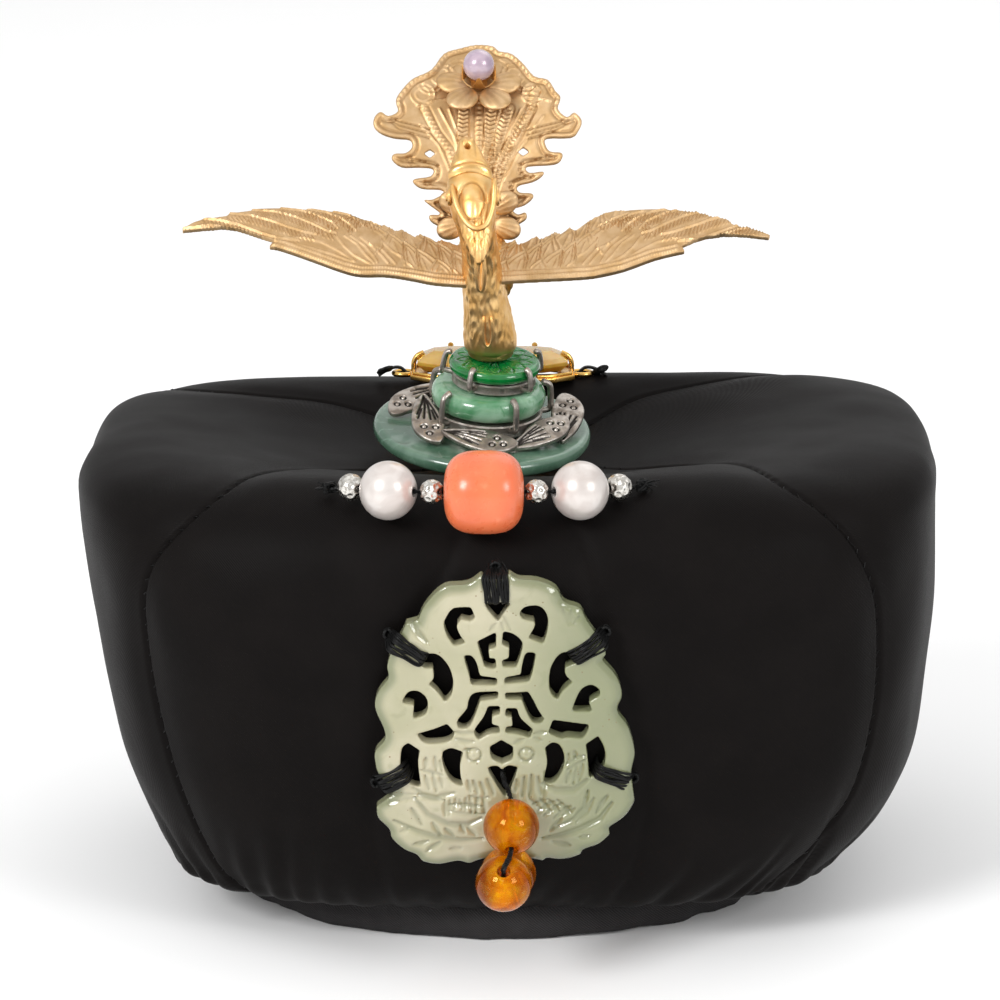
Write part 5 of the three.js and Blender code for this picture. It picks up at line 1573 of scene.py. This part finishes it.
def wing_relief(x, y, rim_line):
    """Relief of the left wing as it is seen from the front."""
    rim, run = near_line(x, y, rim_line)
    length = line_length(rim_line)
    nicks = 0.04 * np.cos(run * math.tau / 0.5)
    relief = (0.42 + nicks) * ridge(rim - 0.42, 0.32)
    relief += (0.3 + nicks) * ridge(rim - 1.2, 0.26)
    relief *= step_between(0, 0.8, run) * step_between(length, length - 0.8, run)
    field = step_between(1.4, 2.0, rim)
    for line in WING_SHAFTS:
        away, along = near_line(x, y, line)
        inside = (along > 0.05) & (along < line_length(line) - 0.05)
        relief += 0.33 * ridge(away, 0.17) * step_between(0.5, 1.0, rim)
        side = np.interp(x, [p[0] for p in line], [p[1] for p in line])
        below = step_between(0.0, 0.15, side - y)
        barb = np.maximum(0, np.cos((along - away * 0.9) * math.tau / 0.78)) ** 1.5
        window = step_between(0.28, 0.42, away) * step_between(1.7, 1.3, away)
        relief += field * inside * below * 0.27 * barb * window
    for line in WING_COVERTS:
        away, _ = near_line(x, y, line)
        relief += field * 0.24 * ridge(away, 0.2)
    root = step_between(0.5, -0.5, -x - 14 - (y - 15) * 0.9)
    return relief + field * root * wing_scales(x, y)


def lay_on_wing(points):
    """Lays points of the flat wing on the leaning surface that the rows give."""
    x, y, z = points.T
    span = np.where(x > 0, x / RIGHT_SHARE, -x)
    lead_y, lead_z, trail_y, trail_z = (np.interp(span, WING_ROWS[:, 0], row) for row in WING_ROWS[:, 1:].T)
    spans, *edges = WING_ROWS[:SLOPED_ROWS].T
    slope = np.interp(span, spans, np.arctan2(edges[3] - edges[1], edges[2] - edges[0]))
    dy, dz = np.cos(slope), np.sin(slope)
    far = (y - (SEEN_Y * lead_y + SEEN_Z * lead_z)) / (SEEN_Y * dy + SEEN_Z * dz)
    chord = np.hypot(trail_y - lead_y, trail_z - lead_z)
    part = np.clip(far / np.maximum(chord, 2), 0, 1)
    out = z + 3.2 * part * (1 - part) * (1 - 0.5 * span / 56)
    return np.stack([x, lead_y + dy * far - dz * out, lead_z + dz * far + dy * out], axis=-1)


def build_wing(side):
    if side == "left":
        outline, rim_line, across = LEFT_UPPER + LEFT_LOWER[::-1], LEFT_LOWER[4:], ACROSS
    else:
        outline, rim_line, across = RIGHT_UPPER + RIGHT_LOWER, mirror_x(RIGHT_LOWER[4:]), -ACROSS_RIGHT
    outline = eased([(x * ACROSS, y * UPWARD) for x, y in outline], 26, 3)
    piece = stamped(outline, [], PRESSED_THICK, 0.13, 0.12, 1)
    points = positions(piece)
    x, y, z = points.T
    relief = wing_relief(x / across, y / UPWARD, rim_line)
    points[:, 2] += relief * (0.35 + 0.65 * step_between(0.0, 0.25, z))
    set_positions(piece, lay_on_wing(points))
    keep(piece, "relief", relief - VALLEY)
    hand_over(piece, f"gilt_wing_{side}", gold, ["phoenix"], PHOENIX_FRAME, 50)


# %% [markdown]
# The tail is a fan with hooked lobes. It curves back along its length, with beaded and barbed bands
# that spread from its root, a scalloped border and grooves along every lobe.
# %% Tail
TAIL_LEFT = [
    (-8.6, 1.7), (-10.4, 2.8), (-10.6, 4), (-8.6, 4.1), (-10.4, 5.6), (-11.6, 6.7), (-10.1, 6.8),
    (-8.2, 7.9), (-8.8, 8.5), (-12, 8.7), (-13.5, 9.8), (-13.1, 10.5), (-10.4, 11), (-10.1, 12.3),
    (-12.8, 12.5), (-15.5, 12.5), (-17.2, 13.8), (-16.8, 14.9), (-14.8, 15.1), (-13.7, 16.2),
    (-14.1, 17.5), (-16.6, 17.7), (-19, 18.4), (-20.4, 19.7), (-20.3, 21.4), (-19.2, 22.5), (-17.9, 21.8),
    (-16.2, 22.8), (-16.6, 24.9), (-15.5, 27.1), (-13.6, 29.5), (-10.4, 31.6), (-8.2, 35.4), (-5.3, 36.8),
    (-2.6, 37.7),
]
TAIL_RIGHT = [
    (0.4, 37.4), (1.6, 36.1), (3.8, 35.4), (6, 32.8), (7.8, 30.1), (10.2, 29.2), (11.5, 26.8),
    (12.4, 25.5), (11.9, 23.3), (13.5, 21.6), (14.8, 22.4), (16.1, 20.8), (15.5, 19), (14.2, 17.8),
    (10, 17.8), (9.7, 16.7), (10.5, 15.4), (12.5, 15.1), (12.6, 14.1), (11.3, 13), (6.5, 12.7),
    (6.9, 11.6), (9.3, 11.8), (9.1, 10.9), (7.5, 9.9), (4.9, 9.2), (5.1, 8.1), (7.3, 7.9), (7.5, 7),
    (6, 5.7), (4, 5), (4.9, 4.1), (6.2, 4.5), (6.4, 3.3), (4.9, 2.2), (2, 0.4), (-6, 0.4),
]
TAIL_EYES = [[(-12, 15.1), (-10.9, 15.8), (-9.9, 15.1), (-10.9, 14.3)],
             [(4.9, 15.4), (6, 16.2), (7.1, 15.4), (6, 14.7)]]
TAIL_BEADED = [[(-2, 4), (-2, 25.5)], [(-11.9, 23.6), (-9.7, 19), (-7.4, 15.9), (-4.6, 8)],
               [(8.3, 27.5), (7.2, 23), (4.6, 17.5), (2.4, 12)]]
TAIL_BARBED = [[(-4.8, 23.6), (-5, 19), (-3.4, 8)], [(0.2, 23.3), (-0.2, 18.4), (-0.9, 8)],
               [(3.3, 23.6), (0.7, 14.6), (-0.2, 9)], [(7.4, 23.6), (2.1, 13.9), (0.6, 9)]]
TAIL_RIDGES = [
    [(-9.2, 23.6), (-6.5, 18.4), (-3.8, 10)],
    [(-3.5, 24.6), (-3.5, 19), (-2.7, 8)],
    [(-0.9, 24.6), (-1, 19), (-1.5, 8)],
    [(5.6, 23.5), (1.6, 14), (0.4, 9)],
    [(-13.2, 24), (-10.8, 24.9), (-7.4, 25.6)],
    [(6.4, 25.8), (10, 25.2), (11.6, 24.6)],
    [(-7.4, 23.5), (-5.8, 19), (-4.4, 12)],
    [(1.8, 23.5), (0.6, 18), (-0.4, 10)],
    [(-12.6, 20.4), (-9.2, 16.6), (-6, 9)],
    [(9.6, 22), (6, 16.8), (2.6, 10)],
]
# side and tips of the lobes that carry grooves
TAIL_TIPS = {-1: [(-19.9, 21.4), (-16.6, 14.6), (-13.1, 10.2), (-11.1, 6.7), (-10.3, 3.9)],
             1: [(15.6, 21.2), (12.3, 14.8), (8.9, 11.5), (7.1, 7.6), (6.1, 4.2)]}
TAIL_MIDDLE = -2.05
TAIL_ROOT = (12.0, 18.4)  # y and z where the fan starts
TAIL_STEP = 0.05
TAIL_LENGTH = 38.6


def tail_curve():
    """Way along the tail, y, z and lean in small steps, as it bends back more and more."""
    rows = []
    y, z = TAIL_ROOT
    for i in range(801):
        at = i * TAIL_STEP
        lean = math.radians(10 + 53 * at / TAIL_LENGTH)
        rows.append((at, y, z, lean))
        y += math.sin(lean) * TAIL_STEP
        z += math.cos(lean) * TAIL_STEP
    return np.array(rows)


TAIL_CURVE = tail_curve()


def on_tail(way):
    """y, z and lean of the tail at one or more distances from its root."""
    return [np.interp(way, TAIL_CURVE[:, 0], TAIL_CURVE[:, k]) for k in (1, 2, 3)]


def lay_on_tail(points):
    x, t, out = points.T
    y, z, lean = on_tail(t)
    out = out + 0.0045 * (x - TAIL_MIDDLE) ** 2 - 0.3
    return np.stack([x, y - np.cos(lean) * out, z + np.sin(lean) * out], axis=-1)


def tail_relief(x, t, outline):
    relief = np.zeros_like(x)
    rim, run = near_line(x, t, outline)
    upper = step_between(22.5, 24, t)
    scallops = 1 + 0.5 * upper * np.cos(run * math.tau / 1.1)
    relief += 0.22 * scallops * ridge(rim - 0.45, 0.3)
    relief -= 0.2 * ridge(rim - 1.15, 0.25)
    inside = step_between(1.2, 2.0, rim)
    fan = inside * step_between(25.8, 24.6, t)
    for line in TAIL_BEADED:
        away, along = near_line(x, t, line)
        beads = 0.55 + 0.45 * np.cos(along * math.tau / 0.95)
        relief += inside * 0.26 * beads * ridge(away, 0.36)
        relief -= inside * 0.16 * ridge(away - 0.85, 0.16)
    for line in TAIL_BARBED:
        away, along = near_line(x, t, line)
        barb = np.cos((along + away * 0.5) * math.tau / 0.8)
        relief += fan * (0.04 + 0.11 * barb) * step_between(0.95, 0.7, away)
        relief -= fan * 0.16 * ridge(away - 1.05, 0.15)
    for line in TAIL_RIDGES:
        away, _ = near_line(x, t, line)
        relief += inside * 0.2 * ridge(away, 0.2)
    for k in range(9):
        centre = math.radians(15 + k * 19)
        x0, t0 = TAIL_MIDDLE + 10.4 * math.cos(centre), 24.6 + 7.6 * math.sin(centre)
        for radius, high in ((2.2, 0.2), (1.3, 0.16)):
            relief += upper * inside * high * ridge(np.hypot(x - x0, t - t0) - radius, 0.17)
    for side, tips in TAIL_TIPS.items():
        for tip_x, tip_t in tips:
            for shift in (-0.75, 0, 0.75):
                line = [(tip_x * 0.93 - side * 0.3, tip_t + shift * 0.4 - 0.2),
                        (tip_x * 0.8 + TAIL_MIDDLE * 0.2, tip_t + shift - 1.3),
                        (tip_x * 0.5 + TAIL_MIDDLE * 0.5, tip_t + shift * 1.2 - 2.6)]
                away, _ = near_line(x, t, line)
                relief -= 0.2 * ridge(away, 0.17) * step_between(0.3, 0.8, rim)
    return relief


def build_tail():
    soft = smooth_path([(x * 1.03, t) for x, t in TAIL_LEFT + TAIL_RIGHT], 3, True)
    piece = stamped(soft, TAIL_EYES, PRESSED_THICK, 0.18, 0.15, 1)
    points = positions(piece)
    x, t, z = points.T
    relief = tail_relief(x, t, soft + soft[:1])
    points[:, 2] += relief * (0.4 + 0.6 * step_between(0.0, 0.25, z))
    set_positions(piece, lay_on_tail(points))
    keep(piece, "relief", relief - VALLEY)
    hand_over(piece, "gilt_tail", gold, ["phoenix"], PHOENIX_FRAME, 50)


# %% [markdown]
# The body, rump and beak are lofted through oval sections and remeshed into one casting, then the
# chaser's marks are pressed in: the brow band, the crest's hole, and soft strokes down the neck.
# %% Body and head
# x, y, z, half width, half depth, lean
BODY_ROWS = [
    (0.1, 0.4, 0, 3.9, 3.6, 0), (0.1, 0.1, 1.2, 4.6, 4.3, 0), (0, 0, 3.5, 4.8, 4.8, 0),
    (-0.4, 0.4, 8, 4.3, 5.4, 0), (-1.1, 0.6, 13, 3.8, 5.6, 0), (-1.5, -0.8, 18, 3.4, 4.6, 0),
    (-1.9, -2.8, 22.5, 3.2, 3.8, 0), (-2.4, -4.8, 26, 3.4, 3.8, 0), (-2.9, -6.4, 29.5, 3.9, 4.3, 0),
    (-3.2, -6.4, 32.6, 4.2, 4.6, 0), (-3.4, -5, 35.4, 4, 4, 0), (-3.6, -2.8, 37.8, 3.1, 2.9, 0),
    (-3.9, -0.8, 39.8, 1.9, 1.8, 0), (-4, 0.2, 41.2, 1.2, 1.1, 0),
]
RUMP_ROWS = [(-0.3, 2, 13, 4.4, 4.6, -1.2), (-0.8, 7, 15, 4.6, 4.2, -1.1),
             (-1.4, 11, 17.6, 4.2, 2.6, -0.9), (-1.9, 13.2, 20, 3.4, 1.1, -0.6)]
BEAK_ROWS = [(-1.8, -16.1, 23.5, 0.5, 0.5, -0.85), (-1.9, -15.2, 25.1, 1.5, 1.1, -0.85),
             (-2.2, -12.8, 28.2, 2.7, 1.9, -0.85), (-2.6, -9.4, 31.5, 3.3, 3, -0.85)]


def loft(rows, sides=40, per=6):
    """A closed form through oval sections that may lean."""
    points = []
    centres = smooth_path([row[:3] for row in rows], per)
    spans = smooth_path([row[3:6] for row in rows], per)
    for centre, (wide, deep, lean) in zip(centres, spans):
        for side in range(sides):
            angle = math.tau * side / sides
            across = deep * math.sin(angle)
            offset = Vector((wide * math.cos(angle), across * math.cos(lean), across * math.sin(lean)))
            points.append(centre + offset)
    faces = ring_faces(len(centres), sides) + end_faces(len(centres), sides)
    piece = raw_mesh("loft", [*points, centres[0], centres[-1]], faces)
    face_outward(piece)
    return piece


def ball(centre, sizes, turn=(0, 0, 0)):
    clear_selection()
    bpy.ops.mesh.primitive_uv_sphere_add(segments=40, ring_count=24, radius=1)
    piece = bpy.context.object
    shape = Matrix.Translation(centre)
    for axis, angle in zip("XYZ", turn):
        shape = shape @ Matrix.Rotation(angle, 4, axis)
    piece.data.transform(shape @ Matrix.Diagonal((*sizes, 1)))
    return piece


# height of each band across the brow, its place and its width
BROW_BANDS = [(0.45, 32.6, 0.45), (-0.3, 31.7, 0.25), (-0.25, 33.5, 0.22)]


def build_body():
    parts = [
        loft(BODY_ROWS), loft(RUMP_ROWS), loft(BEAK_ROWS),
        ball((-6.6, -6.8, 32.6), (0.9, 1.5, 1.6)), ball((0.3, -6.8, 32.6), (0.9, 1.5, 1.6)),
        ball((-3.1, -9.7, 32.8), (2.2, 1.7, 3.0), (-0.6, 0, 0)),
    ]
    piece = joined(parts)
    apply_modifier(piece, "REMESH", mode="VOXEL", voxel_size=0.24)
    apply_modifier(piece, "SMOOTH", factor=0.5, iterations=4)
    points = positions(piece)
    normals = np.empty(len(points) * 3)
    piece.data.vertices.foreach_get("normal", normals)
    normals = normals.reshape(-1, 3)
    x, y, z = points.T
    high = SEEN_Y * y + SEEN_Z * z
    relief = np.zeros_like(x)
    ahead = step_between(0.2, -0.4, normals[:, 1])
    brow = high + 0.09 * (x + 3.4) ** 2
    for depth, at, width in BROW_BANDS:
        relief += depth * ahead * ridge(brow - at, width) * (z > 30)
    dome = np.hypot((x + 3.1) / 2.3, (high - 26.2) / 3.3)
    relief -= 0.3 * ahead * ridge(dome - 1.05, 0.1) * (z > 29)
    crest = step_between(33.8, 34.4, high)
    relief -= 0.14 * crest * np.maximum(0, np.cos(x * 5.2 + high * 0.7))
    relief -= 1.3 * ridge(np.hypot(x + 3.95, high - 36.4), 0.42) * ahead
    neck = step_between(31, 28, z) * step_between(2, 5, z)
    stroke = noise_at(points * (1.9, 1.9, 0.6))
    spots = noise_at(points * (0.8, 0.8, 0.5) + (0, 0, 7))
    relief += neck * (0.1 * np.clip(stroke * 2.2, -1, 1) + 0.07 * spots)
    beak_seam = step_between(27, 22, high) * (y < -11)
    relief -= 0.25 * beak_seam * ridge(np.abs(x + 2.0) - 0.75, 0.22)
    relief -= 0.35 * ridge(z - 1.0, 0.7)
    set_positions(piece, points + normals * relief[:, None])
    # painted shade: the body's bottom, where it meets the jade, is marked as a deep hollow so the gilding
    # paints it dark
    keep(piece, "relief", np.where(z < 2.2, -0.5 * step_between(2.2, 0.6, z), relief * 1.4 + 0.06))
    return piece


# %% [markdown]
# Two flowers of grooved petals sit on the tail, the upper one under a pointed cup with its pearl.
# Bent wires make the cheek band with its curled ends, the tongue and the loop on the chest.
# %% Flowers, cup and wires
PEARL_PLACE = 29.4  # the pearl's distance from the tail's root, along the tail
CUP_PROFILE = [(0, 0), (1.6, 0), (2.5, 0.6), (3.0, 1.8), (3.25, 3.2), (3.0, 3.25), (2.7, 1.9),
               (2.2, 1.0), (0, 0.6)]
# x, height as the camera sees it, and y
CHEEK = [
    (-6.7, 28.9, -8.2), (-6.5, 28.2, -9.6), (-5.6, 24.9, -12.2), (-3.9, 22.2, -14), (-2.2, 21.3, -14.6),
    (-0.5, 22.2, -14), (0.6, 25.5, -12), (0.8, 29.2, -9.8), (0.8, 30, -8.2),
]
TONGUE = [(-2.3, -14.6, 25.0), (-2.35, -14.4, 21.8), (-2.1, -13.8, 18.6), (-1.6, -13.5, 17.6),
          (-1.1, -13.8, 18.6), (-0.9, -14.4, 21.8), (-1.2, -14.6, 25.0)]
TONGUE_LINK = [(-1.6, -13.5, 17.8), (-1.6, -10.5, 18.4), (-1.4, -5.6, 20.2)]
CHEST_LOOP = [
    (-1.1, -4.8, 9.4), (-1.15, -5.2, 8.6), (-1.15, -5.1, 6), (-0.9, -5, 4.3), (-0.4, -4.9, 3.8),
    (0.1, -5, 4.3), (0.35, -5.1, 6), (0.3, -5.2, 8.6), (0.25, -4.8, 9.4),
]


def flower_petal(long, wide):
    """A shallow grooved shell; its inner end is at the origin."""
    piece = ball((long, 0, 0), (long, wide, 1.0))
    points = positions(piece)
    x, y, z = points.T
    part = x / (2 * long)
    fan = np.arctan2(y, x + 0.8 * long)
    groove = np.maximum(0, np.cos(fan * 34)) ** 0.5
    top = step_between(-0.1, 0.3, z)
    relief = -0.09 * top * (1 - groove) * step_between(0.12, 0.3, part)
    points[:, 2] += relief + 0.5 * part * part
    set_positions(piece, points)
    keep(piece, "relief", relief * 2)
    return piece


def tail_place(at, out=0.45):
    """A frame on the tail's front, its z axis pointing out of the tail."""
    y, z, lean = on_tail(at)
    front = Vector((0, -math.cos(lean), math.sin(lean)))
    up = Vector((0, math.sin(lean), math.cos(lean)))
    basis = Matrix(((1, 0, 0), up, front)).transposed().to_4x4()
    return Matrix.Translation(Vector((TAIL_MIDDLE, y, z)) + front * out) @ basis


def flower(at, angles, start, long, wide, tilt=0):
    """Petals round a point of the tail; all but the upright one may be tilted."""
    petal = flower_petal(long, wide)
    made = []
    for i, degrees in enumerate(angles):
        turn = Matrix.Rotation(math.radians(degrees), 4, "Z")
        lift = Matrix.Translation((start, 0, 0.55 + 0.12 * (i % 2)))
        lean = Matrix.Rotation(math.radians(0 if degrees == 90 else -tilt), 4, "X")
        made.append(copy_of(petal, tail_place(at, out=0.45 + tilt / 30) @ lean @ turn @ lift))
    bpy.data.objects.remove(petal)
    return made


def pearl_cup():
    """A small bowl whose rim is drawn up into four points."""
    piece = turned(CUP_PROFILE)
    points = positions(piece)
    x, y, z = points.T
    angle = np.arctan2(y, x)
    peak = np.maximum(0, np.cos(4 * angle)) ** 1.5
    points[:, 2] = np.where(z > 1.2, 1.2 + (z - 1.2) * (0.35 + 1.5 * peak), z)
    pinch = np.where(points[:, 2] > 3, 1 - 0.04 * (points[:, 2] - 3), 1)
    points[:, :2] *= pinch[:, None]
    set_positions(piece, points)
    piece.data.transform(tail_place(PEARL_PLACE))
    return piece


def coil(centre, side):
    """The curled end of the cheek wire, seen from the side of the head."""
    points = []
    for i in range(20):
        turn = i * 0.55
        radius = 1.75 - 0.065 * i
        curl = Vector((side * 0.03 * i, radius * math.cos(turn), radius * math.sin(turn)))
        points.append(Vector(centre) + curl)
    return wire(points, 0.33, 2, per=3)


def build_phoenix():
    cheek = [(x, y, (high - SEEN_Y * y) / SEEN_Z) for x, high, y in CHEEK]
    pieces = [build_body(), pearl_cup(), coil((-6.9, -7.6, 32.9), -1), coil((1.2, -7.6, 32.9), 1)]
    pieces += [wire(cheek, 0.5, 3), wire(TONGUE, 0.36, 3), wire(TONGUE_LINK, 0.3, 2)]
    pieces.append(wire(CHEST_LOOP, 0.3, 3))
    hand_over(joined(pieces), "gilt_phoenix", cast_gold, ["phoenix"], PHOENIX_FRAME, 50)


petals = flower(27.2, (90, 172, 8, -130, -50), 1.4, 3.2, 2.75, 18)
petals += flower(3.6, (200, -20, 150, 30), 2.8, 2.6, 2.1)
hand_over(joined(petals), "gilt_flowers", gold, ["phoenix"], PHOENIX_FRAME, 50)
build_wing("left")
build_wing("right")
build_tail()
build_phoenix()

lilac = Paint("lilac_pearl", Coat_Weight=0.8, Coat_Roughness=0.08, Specular_IOR_Level=0.6, Metallic=0.15)
lilac.tint(lilac.noise(2.2, 3), linear(186, 166, 178), linear(160, 140, 158))
lilac.feed("Roughness", 0.2 + lilac.noise(2, 2) * 0.12)
lilac.bump(lilac.noise(1.4, 2), 0.02, 0.3)
seat = PHOENIX_FRAME @ tail_place(PEARL_PLACE, out=5.3)
hand_over(ball((0, 0, 0), (2.85,) * 3), "lilac_tail_pearl", lilac, ["tail_pearl"], seat, 50)

# %% [markdown]
# The brooch behind the stack is a long cut stone in a gilt rim. The stone is a chamfered octagon
# with a table, two rows of crown facets and a pavilion, so its facets are built ring by ring.
# %% Brooch
BROOCH_FRAME = CROWN_FRAME @ Matrix.Translation((-3.2, 35, 86.5))
HALF, DEEP = 14.2, 6.0


CORNER = 0.55
OCTAGON = [(1, CORNER), (CORNER * 1.3, 1), (-CORNER * 1.3, 1), (-1, CORNER), (-1, -CORNER),
           (-CORNER * 1.3, -1), (CORNER * 1.3, -1), (1, -CORNER)]
# how far each ring of the stone lies inside its widest outline, and its height
STONE_RINGS = [(3.6, 0.15), (1.2, 0.2), (0, 1.4), (0, 2.0), (0.9, 2.75), (1.9, 3.3), (3.1, 3.85)]


def stone_ring(part, z):
    return [Vector((x * (HALF - part), y * (DEEP - part), z)) for x, y in OCTAGON]


def build_stone(paint):
    points = [p for part, z in STONE_RINGS for p in stone_ring(part, z)]
    last = len(points) - 8
    faces = ring_faces(len(STONE_RINGS), 8) + [range(8)[::-1], range(last, last + 8)]
    piece = raw_mesh("stone", points, faces)
    face_outward(piece, bevel=0.09)
    hand_over(piece, "cut_stone", paint, ["brooch_stone"], BROOCH_FRAME, 12)


honey = Paint("honey_stone", Transmission_Weight=0.25, IOR=1.55, Coat_Weight=0.5, Coat_Roughness=0.05,
              Subsurface_Weight=0.3, Subsurface_Scale=1.5 * MM)
honey.tint(honey.noise(4, 4), linear(226, 182, 74), linear(206, 156, 48))
honey.feed("Roughness", 0.12 + honey.noise(1.2, 3) * 0.12)
honey.bump(honey.noise(3, 2), 0.02, 0.2)
build_stone(honey)

bright_gold = Paint("bright_gold", Metallic=1.0)
mist = bright_gold.noise(1.6, 3)
bright_gold.tint(mist, linear(232, 190, 112), linear(214, 166, 80))
bright_gold.feed("Roughness", 0.16 + mist * 0.14)
bright_gold.bump(mist + bright_gold.noise(0.5, 2) * 0.5, 0.03, 0.4)


def build_rim(paint):
    rim = plate([p.xy for p in stone_ring(-1.3, 0)], [[p.xy for p in stone_ring(1.9, 0)]], 1.0, 0.2)
    rim.data.transform(Matrix.Translation((0, 0, -0.8)))
    ledge = stone_ring(-0.55, -0.1)
    pieces = [rim, strand([*ledge, *ledge[:2]], 0.35, 3)]
    for side in (-1, 1):
        for x in (-8, 0, 8):
            path = [(0.7, -0.8), (0.75, 1.4), (0.3, 2.8), (-1.2, 3.75)]
            line = smooth_path([(x, side * (DEEP + out), z) for out, z in path], 6)
            pieces.append(strand(line, 0.5, 3, [1.0] * (len(line) - 3) + [1.15, 1.0, 0.6]))
        path = [(0.7, -0.8), (0.75, 1.2), (0.1, 2.5), (-1.2, 3.2)]
        pieces.append(wire([(side * (HALF + out), 0, z) for out, z in path], 0.5, 3))
        middle = Vector((side * (HALF + 2.6), 0, -0.8))
        turns = np.linspace(0, math.tau, 25)
        loop = [middle + Vector((1.9 * math.cos(a), 1.6 * math.sin(a), 0)) for a in turns]
        pieces.append(strand(loop, 0.5, 3))
    hand_over(joined(pieces), "gilt_rim", paint, ["brooch_setting"], BROOCH_FRAME, 45)


build_rim(bright_gold)


def thread_knot(name, side):
    """A knot of turned loops past the rim's end loop, and the threads that lead to it."""
    dice = random.Random(30 + side)
    middle = Vector((side * (HALF + 6.2), 0, -0.2))
    pieces = []
    for _ in range(9):
        turn = dice.uniform(0, math.pi)
        lean = dice.uniform(-0.7, 0.7)
        ring = []
        for a in np.linspace(0, math.tau, 14):
            wide, tall = 1.35 * math.cos(a), 0.8 * math.sin(a) * math.sin(lean)
            flat = Vector((wide, math.sin(a) * math.cos(lean), tall + 0.5 * math.cos(a + turn)))
            ring.append(middle + Matrix.Rotation(turn * 0.5, 3, "Z") @ flat)
        pieces.append(strand(ring, 0.3))
    for shift in (-0.35, 0.0, 0.35):
        path = [(2.2, shift, -0.6), (3.4, shift, 0.3), (5.2, shift, 0.1), (7.4, shift * 2, -1.2)]
        pieces.append(wire([(side * (HALF + out), y, z) for out, y, z in path], 0.27, per=5))
    knot = joined(pieces)
    hand_over(knot, f"knot_{name}", black_thread, [f"brooch_tie_{name}"], BROOCH_FRAME, 60)


thread_knot("left", -1)
thread_knot("right", 1)
